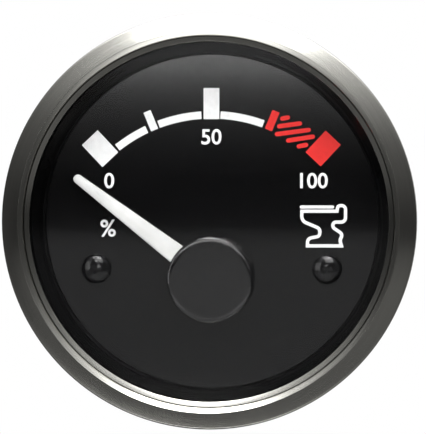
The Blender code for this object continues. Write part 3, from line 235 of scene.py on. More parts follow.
def slab(name, outline, front, rear):
    """Fill an outline of (x, z) and extrude it from a front to a rear y."""
    draw(name, [(x, front, z) for x, z in outline])
    bpy.ops.mesh.edge_face_add()
    bpy.ops.mesh.extrude_region_move(TRANSFORM_OT_translate={"value": (0.0, rear - front, 0.0)})
    return close_shape()


def block(name, low, high):
    """A box between two corners."""
    bpy.ops.object.select_all(action="DESELECT")
    low, high = Vector(low), Vector(high)
    bpy.ops.mesh.primitive_cube_add(size=1.0, location=(low + high) / 2, scale=high - low)
    apply_place()
    bpy.context.object.name = name
    return bpy.context.object


def rod(name, radius, front, rear, centre, steps):
    """A cylinder along Y."""
    bpy.ops.object.select_all(action="DESELECT")
    bpy.ops.mesh.primitive_cylinder_add(
        vertices=steps, radius=radius, depth=rear - front,
        location=(centre[0], (front + rear) / 2, centre[1]), rotation=(math.pi / 2, 0.0, 0.0),
    )
    apply_place()
    bpy.context.object.name = name
    return bpy.context.object


def combine(target, tool, operation):
    """Join a tool to a piece, or cut it away, and apply that at once."""
    activate(target)
    modifier = target.modifiers.new(operation.lower(), "BOOLEAN")
    modifier.object = tool
    modifier.operation = operation
    modifier.solver = "EXACT"
    bpy.ops.object.modifier_apply(modifier=modifier.name)
    bpy.data.objects.remove(tool, do_unlink=True)
    edit_all()
    bpy.ops.mesh.remove_doubles(threshold=BOOLEAN_WELD)
    leave_edit()
    return target


def join(pieces):
    """Make one mesh of several that don't touch."""
    bpy.ops.object.select_all(action="DESELECT")
    for piece in pieces:
        piece.select_set(True)
    bpy.context.view_layer.objects.active = pieces[0]
    bpy.ops.object.join()
    return pieces[0]


def copy_piece(obj, name, offset):
    """A copy with its own mesh, moved by an offset that goes into the mesh."""
    activate(obj)
    bpy.ops.object.duplicate(linked=False)
    made = bpy.context.object
    made.name = name
    made.data.name = name
    made.location = offset
    apply_place()
    return made


def turn_piece(obj, angle, centre):
    """Turn a piece's mesh about the Y line through a centre (x, z)."""
    pivot = Matrix.Translation((centre[0], 0.0, centre[1]))
    obj.matrix_world = pivot @ Matrix.Rotation(angle, 4, "Y") @ pivot.inverted()
    activate(obj)
    apply_place()
    return obj


def other_side(obj, name, centre, turn=0.0):
    """A copy of the left piece at the same place on the right, turned about its own Y line."""
    made = copy_piece(obj, name, (-2 * centre[0], 0.0, 0.0))
    if turn:
        turn_piece(made, turn, (-centre[0], centre[1]))
    return made


def round_edges(obj, test, offset):
    """Bevel the edges whose two ends pass a test, in two steps."""
    activate(obj)
    edit_all()
    bpy.ops.mesh.select_mode(type="EDGE")
    bpy.ops.mesh.select_all(action="DESELECT")
    leave_edit()
    points = obj.data.vertices
    for edge in obj.data.edges:
        first, second = (points[index].co for index in edge.vertices)
        edge.select = test(first, second)
    bpy.ops.object.mode_set(mode="EDIT")
    bpy.ops.mesh.bevel(offset=offset, segments=2, affect="EDGES")
    leave_edit()
    return obj


def finish(obj, name, body, material, replaced=()):
    """Name a piece, shade it, give it its finish and let it ride on its body."""
    activate(obj)
    obj.name = name
    obj.data.name = name
    shape = bmesh.new()
    shape.from_mesh(obj.data)
    open_edges = sum(not edge.is_manifold for edge in shape.edges)
    shape.free()
    if open_edges:
        raise RuntimeError(f"{name} has {open_edges} open edges")
    bpy.ops.object.shade_smooth_by_angle(angle=SMOOTH_ANGLE)
    obj.data.materials.clear()
    obj.data.materials.append(material)
    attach(obj, body)
    if replaced:
        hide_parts(*replaced)
    return obj


# Node helpers


def add_node(tree, kind, **settings):
    """A node with its settings."""
    made = tree.nodes.new(kind)
    for key, value in settings.items():
        setattr(made, key, value)
    return made


def math_node(tree, operation, *values, clamp=False):
    """A Math node fed by numbers or sockets; gives its output."""
    made = add_node(tree, "ShaderNodeMath", operation=operation, use_clamp=clamp)
    for socket, value in zip(made.inputs, values):
        feed(tree, socket, value)
    return made.outputs[0]


def feed(tree, socket, value):
    """Set a socket to a constant, or link it to another socket."""
    if isinstance(value, bpy.types.NodeSocket):
        tree.links.new(value, socket)
    elif socket.type == "RGBA" and len(value) == 3:
        socket.default_value = (*value, 1.0)
    else:
        socket.default_value = value


def noise(tree, vector, scale, detail=3.0, roughness=0.5, distortion=0.0):
    """A Noise texture's factor."""
    made = add_node(tree, "ShaderNodeTexNoise")
    feed(tree, made.inputs["Vector"], vector)
    feed(tree, made.inputs["Scale"], scale)
    feed(tree, made.inputs["Detail"], detail)
    feed(tree, made.inputs["Roughness"], roughness)
    feed(tree, made.inputs["Distortion"], distortion)
    return made.outputs["Fac"]


def spread(tree, value, low, high, to_low=0.0, to_high=1.0):
    """Map Range, clamped."""
    made = add_node(tree, "ShaderNodeMapRange")
    for socket, number in zip(made.inputs, (value, low, high, to_low, to_high)):
        feed(tree, socket, number)
    return made.outputs[0]


def mix_colour(tree, factor, first, second, blend="MIX"):
    """A colour mix."""
    made = add_node(tree, "ShaderNodeMix", data_type="RGBA", blend_type=blend)
    feed(tree, made.inputs["Factor"], factor)
    feed(tree, made.inputs[6], first)
    feed(tree, made.inputs[7], second)
    return made.outputs[2]


def bump(tree, height, strength, distance):
    """A Bump node's normal."""
    made = add_node(tree, "ShaderNodeBump")
    feed(tree, made.inputs["Strength"], strength)
    feed(tree, made.inputs["Distance"], distance)
    feed(tree, made.inputs["Height"], height)
    return made.outputs["Normal"]


def place_on(tree):
    """Object coordinates."""
    return add_node(tree, "ShaderNodeTexCoord").outputs["Object"]


def new_group(name, inputs, outputs):
    """A shader node group; gives its tree, its input sockets by name and its output node."""
    tree = bpy.data.node_groups.new(name, "ShaderNodeTree")
    for socket, kind, default in inputs:
        made = tree.interface.new_socket(socket, in_out="INPUT", socket_type="NodeSocket" + kind)
        made.default_value = (*default, 1.0) if kind == "Color" else default
    for socket, kind in outputs:
        tree.interface.new_socket(socket, in_out="OUTPUT", socket_type="NodeSocket" + kind)
    source = tree.nodes.new("NodeGroupInput")
    return tree, source.outputs, tree.nodes.new("NodeGroupOutput")


def use_group(tree, name, **values):
    """Place a group in a tree, with its inputs set."""
    made = add_node(tree, "ShaderNodeGroup", node_tree=bpy.data.node_groups[name])
    for socket, value in values.items():
        feed(tree, made.inputs[socket.replace("_", " ")], value)
    return made.outputs


def build_moulded_grain():
    """Fine spark-eroded grain, slow changes of gloss and a little settled dust on upward faces."""
    tree, given, output = new_group("moulded grain", (
        ("Colour", "Color", (0.02, 0.02, 0.02)), ("Scale", "Float", 6000.0), ("Depth", "Float", 0.3),
        ("Gloss", "Float", 0.45), ("Dust", "Float", 0.1),
    ), (("Colour", "Color"), ("Roughness", "Float"), ("Normal", "Vector")))
    where = place_on(tree)
    grain = noise(tree, where, given["Scale"], 2.0, 0.6)
    cloud = noise(tree, where, 160.0, 3.0, 0.55)
    speck = noise(tree, where, 2300.0, 4.0, 0.7)
    up = add_node(tree, "ShaderNodeSeparateXYZ")
    feed(tree, up.inputs[0], add_node(tree, "ShaderNodeNewGeometry").outputs["Normal"])
    upward = spread(tree, up.outputs["Z"], 0.2, 1.0)
    settled = math_node(tree, "MULTIPLY", upward, spread(tree, speck, 0.5, 0.8))
    dust = math_node(tree, "MULTIPLY", settled, given["Dust"])
    shade = spread(tree, cloud, 0.3, 0.7, 0.86, 1.14)
    tinted = mix_colour(tree, 1.0, given["Colour"], shade, "MULTIPLY")
    dusted = mix_colour(tree, dust, tinted, (0.30, 0.29, 0.27))
    feed(tree, output.inputs["Colour"], dusted)
    varied = math_node(tree, "MULTIPLY_ADD", cloud, 0.16, math_node(tree, "SUBTRACT", given["Gloss"], 0.08))
    feed(tree, output.inputs["Roughness"], math_node(tree, "ADD", varied, dust, clamp=True))
    feed(tree, output.inputs["Normal"], bump(tree, grain, given["Depth"], 0.00003))


def build_turned_grain():
    """Rings left by a turning or spinning tool round a Y line through Centre."""
    tree, given, output = new_group("turned grain", (
        ("Colour", "Color", (0.6, 0.6, 0.6)), ("Centre", "Vector", (0.0, 0.0, 0.0)),
        ("Rings", "Float", 9000.0), ("Depth", "Float", 0.2), ("Gloss", "Float", 0.2),
    ), (("Colour", "Color"), ("Roughness", "Float"), ("Normal", "Vector")))
    offset = add_node(tree, "ShaderNodeVectorMath", operation="SUBTRACT")
    feed(tree, offset.inputs[0], place_on(tree))
    feed(tree, offset.inputs[1], given["Centre"])
    parts = add_node(tree, "ShaderNodeSeparateXYZ")
    feed(tree, parts.inputs[0], offset.outputs[0])
    x, y, z = parts.outputs
    squares = math_node(
        tree, "ADD", math_node(tree, "MULTIPLY", x, x), math_node(tree, "MULTIPLY", z, z),
    )
    radius = math_node(tree, "SQRT", squares)
    path_length = math_node(tree, "ADD", radius, math_node(tree, "MULTIPLY", y, 0.7))
    along = math_node(tree, "MULTIPLY", path_length, given["Rings"])
    ringed = add_node(tree, "ShaderNodeCombineXYZ")
    feed(tree, ringed.inputs["X"], along)
    feed(tree, ringed.inputs["Y"], math_node(tree, "MULTIPLY", math_node(tree, "DIVIDE", x, radius), 3.0))
    feed(tree, ringed.inputs["Z"], math_node(tree, "MULTIPLY", math_node(tree, "DIVIDE", z, radius), 3.0))
    rings = noise(tree, ringed.outputs[0], 1.0, 2.0, 0.7)
    fine = noise(tree, place_on(tree), 9000.0, 2.0, 0.6)
    smear = noise(tree, place_on(tree), 220.0, 3.0, 0.5)
    both = math_node(tree, "MULTIPLY_ADD", fine, 0.35, rings)
    shade = spread(tree, both, 0.4, 0.95, 0.90, 1.06)
    feed(tree, output.inputs["Colour"], mix_colour(tree, 1.0, given["Colour"], shade, "MULTIPLY"))
    gloss = math_node(tree, "MULTIPLY_ADD", rings, 0.10, math_node(tree, "SUBTRACT", given["Gloss"], 0.07))
    feed(tree, output.inputs["Roughness"], math_node(tree, "MULTIPLY_ADD", smear, 0.05, gloss))
    feed(tree, output.inputs["Normal"], bump(tree, both, given["Depth"], 0.00002))


def build_plated():
    """Bright zinc plate on steel: cloudy tint, small spangles and rubbed specks."""
    tree, given, output = new_group("plated metal", (
        ("Colour", "Color", (0.6, 0.6, 0.6)), ("Tint", "Color", (0.62, 0.58, 0.45)),
        ("Scale", "Float", 900.0), ("Depth", "Float", 0.2), ("Gloss", "Float", 0.35),
    ), (("Colour", "Color"), ("Roughness", "Float"), ("Normal", "Vector")))
    where = place_on(tree)
    cloud = noise(tree, where, 130.0, 4.0, 0.6, 0.6)
    grain = noise(tree, where, given["Scale"], 4.0, 0.65)
    spangle = add_node(tree, "ShaderNodeTexVoronoi")
    feed(tree, spangle.inputs["Vector"], where)
    feed(tree, spangle.inputs["Scale"], math_node(tree, "MULTIPLY", given["Scale"], 1.6))
    tinted = mix_colour(tree, spread(tree, cloud, 0.45, 0.72, 0.0, 0.45), given["Colour"], given["Tint"])
    shade = spread(tree, spangle.outputs["Distance"], 0.0, 0.8, 1.05, 0.90)
    feed(tree, output.inputs["Colour"], mix_colour(tree, 1.0, tinted, shade, "MULTIPLY"))
    gloss = math_node(tree, "MULTIPLY_ADD", grain, 0.22, math_node(tree, "SUBTRACT", given["Gloss"], 0.10))
    feed(tree, output.inputs["Roughness"], gloss)
    feed(tree, output.inputs["Normal"], bump(tree, grain, given["Depth"], 0.00003))


def build_ink():
    """Screen-printed ink: an even film with a fine mesh mark and slight mottle."""
    tree, given, output = new_group("printed ink", (
        ("Colour", "Color", (0.8, 0.8, 0.8)), ("Depth", "Float", 0.15),
    ), (("Colour", "Color"), ("Roughness", "Float"), ("Normal", "Vector")))
    where = place_on(tree)
    mottle = noise(tree, where, 1400.0, 3.0, 0.6)
    mesh_mark = noise(tree, where, 9000.0, 1.0, 0.5)
    shade = spread(tree, mottle, 0.3, 0.7, 0.94, 1.03)
    feed(tree, output.inputs["Colour"], mix_colour(tree, 1.0, given["Colour"], shade, "MULTIPLY"))
    feed(tree, output.inputs["Roughness"], spread(tree, mottle, 0.2, 0.8, 0.42, 0.60))
    feed(tree, output.inputs["Normal"], bump(tree, mesh_mark, given["Depth"], 0.00001))


GROUP_BUILDERS = (build_moulded_grain, build_turned_grain, build_plated, build_ink)


def new_material(name, metallic=0.0, **constants):
    """A material with its Principled shader; constants are set on the shader's own sockets."""
    material = bpy.data.materials.new(name)
    material.use_nodes = True
    tree = material.node_tree
    shader = tree.nodes["Principled BSDF"]
    shader.inputs["Metallic"].default_value = metallic
    for key, value in constants.items():
        shader.inputs[key.replace("_", " ")].default_value = value
    return material, tree, shader


def dress(tree, shader, outputs):
    """Feed a group's colour, roughness and normal to the shader."""
    feed(tree, shader.inputs["Base Color"], outputs["Colour"])
    feed(tree, shader.inputs["Roughness"], outputs["Roughness"])
    feed(tree, shader.inputs["Normal"], outputs["Normal"])


def kept(name):
    """A material that is there already, or nothing."""
    return bpy.data.materials.get(name)


def moulded(name, colour, scale=6000.0, depth=0.3, gloss=0.45, dust=0.1, **constants):
    """Moulded or painted plastic, or rubber."""
    if kept(name):
        return kept(name)
    material, tree, shader = new_material(name, **constants)
    dress(tree, shader, use_group(
        tree, "moulded grain", Colour=colour, Scale=scale, Depth=depth, Gloss=gloss, Dust=dust,
    ))
    return material


def turned_metal(name, colour, centre=(0.0, 0.0, 0.0), rings=9000.0, depth=0.2, gloss=0.2, **constants):
    """Metal with turning marks round a centre."""
    if kept(name):
        return kept(name)
    material, tree, shader = new_material(name, metallic=1.0, **constants)
    dress(tree, shader, use_group(
        tree, "turned grain", Colour=colour, Centre=centre, Rings=rings, Depth=depth, Gloss=gloss,
    ))
    return material


def plated_metal(name, colour, tint=(0.62, 0.58, 0.45), scale=900.0, depth=0.2, gloss=0.35):
    """Plated sheet or rod."""
    if kept(name):
        return kept(name)
    material, tree, shader = new_material(name, metallic=1.0)
    dress(tree, shader, use_group(
        tree, "plated metal", Colour=colour, Tint=tint, Scale=scale, Depth=depth, Gloss=gloss,
    ))
    return material


def ink(name, colour):
    """Printed ink."""
    if kept(name):
        return kept(name)
    material, tree, shader = new_material(name, Specular_IOR_Level=0.25)
    dress(tree, shader, use_group(tree, "printed ink", Colour=colour))
    return material


def spun_stainless():
    """The bezel's stainless: fine rings round Y, drawn-out highlights along them."""
    if kept("spun stainless"):
        return kept("spun stainless")
    material = turned_metal(
        "spun stainless", colours().stainless, rings=14000.0, depth=0.10, gloss=0.17, Anisotropic=0.45,
    )
    tree = material.node_tree
    tangent = add_node(tree, "ShaderNodeTangent", direction_type="RADIAL", axis="Y")
    feed(tree, tree.nodes["Principled BSDF"].inputs["Tangent"], tangent.outputs[0])
    return material


def lens_glass():
    """The lens: clear glass with a few faint wipe marks in its gloss."""
    material, tree, shader = new_material(
        "lens glass", Transmission_Weight=1.0, IOR=1.16, Base_Color=(1.0, 1.0, 1.0, 1.0),
    )
    wipe = noise(tree, place_on(tree), 90.0, 4.0, 0.6, 1.5)
    feed(tree, shader.inputs["Roughness"], spread(tree, wipe, 0.62, 0.85, 0.0, 0.03))
    return material


def moulding():
    """Black glass-filled plastic."""
    return moulded("black moulding", colours().moulding, 5200.0, 0.35, 0.42, 0.10)


def spacer_plastic():
    """The spacer ring's matt black plastic."""
    return moulded("spacer black", (0.0015, 0.0015, 0.0016), 7000.0, 0.1, 0.30, 0.0, Specular_IOR_Level=0.03)


def rubber():
    """Black rubber."""
    return moulded("black rubber", colours().rubber, 3800.0, 0.6, 0.72, 0.2)


def zinc():
    """Bright zinc plate on rods and fasteners."""
    return plated_metal("zinc plate", colours().zinc)


def bracket_zinc():
    """Duller zinc plate on the folded strap."""
    return plated_metal("strap zinc", colours().zinc, (0.60, 0.57, 0.46), 520.0, 0.35, 0.40)


def brass():
    """Turned brass."""
    return plated_metal("brass", colours().brass, (0.60, 0.36, 0.14), 1400.0, 0.15, 0.30)


# Turned pieces of the front


class GAUGE_OT_bezel(bpy.types.Operator):
    """Spin the stainless bezel: coined lip, crease, rolled crest, sloping face, side and rear curl"""

    bl_idname = "gauge.bezel"
    bl_label = "Model bezel"

    def execute(self, context):
        outer, rear = BEZEL_HIGH.x, BEZEL_HIGH.y
        sheet = 0.6 * MM
        profile = rounded([
            (26.90 * MM, -8.30 * MM, 0.05 * MM),
            (26.90 * MM, -8.62 * MM, 0.05 * MM),
            (27.60 * MM, -8.96 * MM, 0.0),
            (27.65 * MM, -8.58 * MM, 0.0),
            (27.80 * MM, -9.70 * MM, 0.12 * MM),
            (28.43 * MM, -10.159 * MM, 0.0),
            (28.48 * MM, BEZEL_LOW.y + 0.002 * MM, 0.012 * MM),
            (28.56 * MM, -10.157 * MM, 0.0),
            (outer, -8.97 * MM, 0.50 * MM),
            (outer, rear, 0.5 * MM),
            (28.1 * MM, rear, 0.12 * MM),
            (28.1 * MM, rear - sheet, 0.12 * MM),
            (outer - sheet, rear - sheet, 0.25 * MM),
            (outer - sheet, -8.62 * MM, 0.15 * MM),
            (28.70 * MM, -9.50 * MM, 0.15 * MM),
            (28.24 * MM, -8.98 * MM, 0.12 * MM),
            (28.24 * MM, -8.30 * MM, 0.12 * MM),
        ], steps=6)
        bezel = lathe("bezel_ring", profile, sizes().round_steps)
        finish(bezel, "bezel_ring", "gauge", spun_stainless(), ("bezel",))
        return {"FINISHED"}


class GAUGE_OT_lens(bpy.types.Operator):
    """Give the lens its clear glass, which lets the lamps' light through to the dial"""

    bl_idname = "gauge.lens"
    bl_label = "Finish lens"

    def execute(self, context):
        lens = CAD_NODES["lens"]
        lens.data.materials.clear()
        lens.data.materials.append(lens_glass())
        lens.visible_shadow = False
        return {"FINISHED"}


class GAUGE_OT_spacer(bpy.types.Operator):
    """Turn the black spacer ring, with its stepped bore and softened lips"""

    bl_idname = "gauge.spacer"
    bl_label = "Model spacer"

    def execute(self, context):
        low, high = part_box("spacer_ring")
        flange = high.x
        profile = rounded([
            (26.8 * MM, low.y, 0.12 * MM),
            (flange, low.y, 0.1 * MM),
            (flange, -4.1 * MM, 0.0),
            (26.1 * MM, -4.1 * MM, 0.0),
            (26.1 * MM, high.y, 0.0),
            (25.1 * MM, high.y, 0.1 * MM),
            (25.1 * MM, high.y - 0.5 * MM, 0.15 * MM),
            (25.5 * MM, high.y - 0.5 * MM, 0.1 * MM),
            (25.9 * MM, low.y + 1.8 * MM, 0.25 * MM),
        ], steps=4)
        ring = lathe("dial_spacer", profile, sizes().round_steps)
        finish(ring, "dial_spacer", "gauge", spacer_plastic(), ("spacer_ring",))
        return {"FINISHED"}


class GAUGE_OT_dial_screws(bpy.types.Operator):
    """Turn one domed screw, sink its tapered cross recess and copy it to the other side"""

    bl_idname = "gauge.dial_screws"
    bl_label = "Model dial screws"

    def execute(self, context):
        low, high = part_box("dial_screw_left")
        centre = ((low.x + high.x) / 2, (low.z + high.z) / 2)
        radius = (high.x - low.x) / 2
        head_rear = DIAL_FRONT_Y - 0.2 * MM
        dome_rear = head_rear - 0.12 * MM
        dome = [
            (radius * math.sin(angle), dome_rear - (dome_rear - low.y) * math.cos(angle))
            for angle in (math.pi / 2 * step / 10 for step in range(11))
        ]
        shank = [
            (radius, head_rear), (1.0 * MM, head_rear), (1.0 * MM, high.y - 1.0 * MM), (0.0, high.y),
        ]
        material = moulded(
            "screw black", (0.003, 0.003, 0.0035), 5200.0, 0.06, 0.28, 0.0, Specular_IOR_Level=0.0,
            Coat_Weight=0.8, Coat_Roughness=0.08,
        )
        screw = lathe("dial_screw_a", dome + shank, sizes().fine_steps, centre, closed=False)
        wing_half, wing_thick, wing_depth = 1.05 * MM, 0.28 * MM, 0.75 * MM
        first_turn = 0.22
        for turn in (0.0, math.pi / 2):
            wing = block(
                "recess", (centre[0] - wing_half, low.y - 0.5 * MM, centre[1] - wing_thick),
                (centre[0] + wing_half, low.y + wing_depth, centre[1] + wing_thick),
            )
            for point in wing.data.vertices:  # narrower at the bottom
                if point.co.y > low.y:
                    point.co.x = centre[0] + (point.co.x - centre[0]) * 0.42
                    point.co.z = centre[1] + (point.co.z - centre[1]) * 0.55
            turn_piece(wing, turn + first_turn, centre)
            combine(screw, wing, "DIFFERENCE")
        other = other_side(screw, "dial_screw_b", centre, 0.5)
        finish(screw, "dial_screw_a", "gauge", material, ("dial_screw_left",))
        finish(other, "dial_screw_b", "gauge", material, ("dial_screw_right",))
        return {"FINISHED"}


class GAUGE_OT_pointer(bpy.types.Operator):
    """Model the white pointer, with bevelled long edges, and its hub, turned to its rest"""

    bl_idname = "gauge.pointer"
    bl_label = "Model pointer"

    def execute(self, context):
        centre = (0.0, PIVOT_Z)
        front = -4.6 * MM
        disc_rear = front + 1.0 * MM
        hub = lathe("pointer_arm", [
            (0.0, front), (5.4 * MM, front), (5.4 * MM, disc_rear), (1.6 * MM, disc_rear),
            (1.6 * MM, disc_rear + 2.4 * MM), (0.75 * MM, disc_rear + 2.4 * MM),
            (0.75 * MM, disc_rear - 0.7 * MM), (0.0, disc_rear - 0.7 * MM),
        ], sizes().fine_steps, centre, closed=False)
        root, tip = 4.6 * MM, 25.8 * MM
        root_half, tip_half = 1.60 * MM, 0.685 * MM
        outline = [(root_half, root), (tip_half, tip - tip_half)]
        outline += [
            (tip_half * math.cos(angle), tip - tip_half + tip_half * math.sin(angle))
            for angle in (math.pi / 12 * step for step in range(1, 12))
        ]
        outline += [(-tip_half, tip - tip_half), (-root_half, root)]
        blade = slab("blade", [(x, PIVOT_Z + z) for x, z in outline], front, front + 0.7 * MM)
        round_edges(
            blade, lambda a, b: max(a.y, b.y) < front + WELD and max(a.z, b.z) > PIVOT_Z + root + WELD,
            0.24 * MM,
        )
        combine(hub, blade, "UNION")
        turn_piece(hub, REST_ANGLE, centre)
        material = moulded(
            "pointer white", colours().pointer, 7000.0, 0.12, 0.45, 0.0, Specular_IOR_Level=0.2,
        )
        finish(hub, "pointer_arm", "pointer", material, ("pointer_blade",))
        return {"FINISHED"}


class GAUGE_OT_hub_cap(bpy.types.Operator):
    """Turn the black cap over the pointer's hub, with its rolled rim and the slot for the blade"""

    bl_idname = "gauge.hub_cap"
    bl_label = "Model hub cap"

    def execute(self, context):
        centre = (0.0, PIVOT_Z)
        front, rear = CAP_LOW.y, CAP_HIGH.y
        radius = 6.5 * MM
        ceiling = front + 0.9 * MM
        profile = rounded([
            (0.0, front + 0.02 * MM, 0.0),
            (5.7 * MM, front, 0.3 * MM),
            (radius, front + 0.02 * MM, 0.6 * MM),
            (radius, rear, 0.06 * MM),
            (5.9 * MM, rear, 0.06 * MM),
            (5.9 * MM, ceiling, 0.1 * MM),
            (0.0, ceiling, 0.0),
        ], steps=8, closed=False)
        cap = lathe("hub_cap_dome", profile, 96, centre, closed=False)
        half = 1.75 * MM
        slot = block(
            "slot", (-half, ceiling + 0.02 * MM, PIVOT_Z + 5.4 * MM), (half, rear + MM, PIVOT_Z + 7.0 * MM),
        )
        combine(cap, slot, "DIFFERENCE")
        turn_piece(cap, REST_ANGLE, centre)
        material = moulded(
            "cap black", (0.002, 0.002, 0.0022), 6500.0, 0.08, 0.34, 0.0, Specular_IOR_Level=0.0,
            Coat_Weight=1.0, Coat_Roughness=0.06, Coat_IOR=1.7,
        )
        finish(cap, "hub_cap_dome", "pointer", material, ("pointer_hub_cap",))
        return {"FINISHED"}


# Print on the dial


def ring_band(name, inner, outer, start, end):
    """A flat strip of the scale between two radii and two angles (degrees right of the top)."""
    centre_z = -sizes().scale_drop
    turn = math.radians(start)
    points = [
        (radius * math.sin(turn), DIAL_FRONT_Y, centre_z + radius * math.cos(turn))
        for radius in (inner, outer)
    ]
    draw(name, points, closed=False)
    bpy.ops.mesh.spin(
        steps=max(3, round((end - start) / 1.5)), angle=math.radians(end - start),
        center=(0.0, 0.0, centre_z), axis=(0.0, -1.0, 0.0),
    )
    return raise_ink(name)


def raise_ink(name):
    """Give flat print its height above the dial."""
    bpy.ops.mesh.select_all(action="SELECT")
    bpy.ops.mesh.remove_doubles(threshold=WELD)
    bpy.ops.mesh.extrude_region_move(TRANSFORM_OT_translate={"value": (0.0, -sizes().print_height, 0.0)})
    made = close_shape()
    made.name = name
    return made


def scale_block(name, inner, outer, width, angle):
    """A straight-sided mark of the scale, with slightly rounded corners."""
    centre_z = -sizes().scale_drop
    half, corner = width / 2, 0.07 * MM
    outline = rounded([
        (-half, inner, corner), (half, inner, corner), (half, outer, corner), (-half, outer, corner),
    ], steps=3)
    front = DIAL_FRONT_Y - sizes().print_height
    made = slab(name, [(x, centre_z + z) for x, z in outline], front, DIAL_FRONT_Y)
    return turn_piece(made, math.radians(angle), (0.0, centre_z))


def stroke(name, points, width, front, rear):
    """A raised line with round ends along points of (x, z)."""
    half, cap_steps = width / 2, 6
    ways = [Vector(b) - Vector(a) for a, b in zip(points, points[1:])]
    left, right = [], []
    for index, point in enumerate(points):
        before = ways[max(index - 1, 0)].normalized()
        after = ways[min(index, len(ways) - 1)].normalized()
        side = Vector((-(before.y + after.y), before.x + after.x)).normalized()
        reach = half / max(0.3, side.dot(Vector((-after.y, after.x))))
        left.append(Vector(point) + side * reach)
        right.append(Vector(point) - side * reach)

    def cap(end, way):
        """A half circle from the left side to the right side round an end."""
        start = math.atan2(way.x, -way.y)
        return [
            (end[0] + half * math.cos(start - math.pi * step / cap_steps),
             end[1] + half * math.sin(start - math.pi * step / cap_steps))
            for step in range(1, cap_steps)
        ]

    outline = [tuple(p) for p in left] + cap(points[-1], ways[-1])
    outline += [tuple(p) for p in reversed(right)] + cap(points[0], -ways[0])
    return slab(name, outline, front, rear)


class GAUGE_OT_scale(bpy.types.Operator):
    """Print the scale: white arc and marks on the low side, red marks and warning stripes on the high side"""

    bl_idname = "gauge.scale"
    bl_label = "Print scale"

    def execute(self, context):
        middle, width = sizes().scale_radius, sizes().scale_width
        inner, outer = middle - width / 2, middle + width / 2
        white = [
            ring_band("arc", inner, outer, start, end)
            for start, end in ((-38.2, -25.2), (-20.3, -3.8), (3.4, 19.9))
        ]
        white.append(scale_block("half_mark", 22.39 * MM, 27.08 * MM, 2.38 * MM, 0.0))
        white.append(scale_block("low_mark", 22.36 * MM, 26.93 * MM, 3.30 * MM, -43.25))
        white.append(scale_block("low_tick", 22.47 * MM, 25.51 * MM, 1.15 * MM, -22.5))
        finish(join(white), "scale_white", "gauge", ink("white ink", colours().white_ink))
        red = [
            scale_block("high_mark", 22.40 * MM, 26.85 * MM, 3.15 * MM, 43.2),
            scale_block("high_tick", 22.47 * MM, 25.51 * MM, 1.15 * MM, 22.5),
        ]
        stripe_width, round_end = 0.67 * MM, 0.33
        for left_x, left_z, right_x, right_z in (
            (10.37, 15.46, 11.86, 15.62),
            (9.92, 14.30, 13.68, 14.72),
            (9.56, 13.12, 15.00, 13.74),
            (11.27, 12.17, 15.62, 12.73),
            (12.86, 11.27, 14.60, 11.50),
        ):
            red.append(stroke("stripe", [
                ((left_x + round_end) * MM, left_z * MM), ((right_x - round_end) * MM, right_z * MM),
            ], stripe_width, DIAL_FRONT_Y - sizes().print_height, DIAL_FRONT_Y))
        finish(join(red), "scale_red", "gauge", ink("red ink", colours().red_ink))
        return {"FINISHED"}


def numeral(body, centre_x, centre_z, height):
    """One figure of the dial as a mesh standing on the dial, its middle at a place (x, z)."""
    bpy.ops.object.select_all(action="DESELECT")
    bpy.ops.object.text_add(location=(0.0, 0.0, 0.0))
    text = bpy.context.object
    figure_share, weight_share = 0.73, 0.022
    text.data.body = body
    text.data.size = height / figure_share
    text.data.offset = height * weight_share
    text.data.resolution_u = 6
    text.data.extrude = sizes().print_height / 2
    bpy.ops.object.convert(target="MESH")
    made = bpy.context.object
    xs = [point.co.x for point in made.data.vertices]
    ys = [point.co.y for point in made.data.vertices]
    low, high = Vector((min(xs), min(ys), 0.0)), Vector((max(xs), max(ys), 0.0))
    fit = height / (high.y - low.y)
    middle = (low + high) / 2
    stand = Matrix.Translation((centre_x, DIAL_FRONT_Y - sizes().print_height / 2, centre_z))
    flat_fit = Matrix.Diagonal((fit, fit, 1.0, 1.0))
    made.matrix_world = stand @ Matrix.Rotation(math.pi / 2, 4, "X") @ flat_fit @ Matrix.Translation(-middle)
    activate(made)
    apply_place()
    edit_all()
    bpy.ops.mesh.remove_doubles(threshold=WELD)
    return close_shape()


class GAUGE_OT_numerals(bpy.types.Operator):
    """Print the figures of the scale, in per cent of a full tank"""

    bl_idname = "gauge.numerals"
    bl_label = "Print figures"

    def execute(self, context):
        height = sizes().numeral_height
        figures = [
            numeral(body, x * MM, z * MM, height * share)
            for body, x, z, share in (
                ("0", -15.5, 6.12, 1.0), ("50", 0.0, 12.73, 1.0), ("100", 15.47, 6.12, 1.0),
                ("%", -15.67, -1.07, 1.1),
            )
        ]
        finish(join(figures), "figures", "gauge", ink("white ink", colours().white_ink))
        return {"FINISHED"}


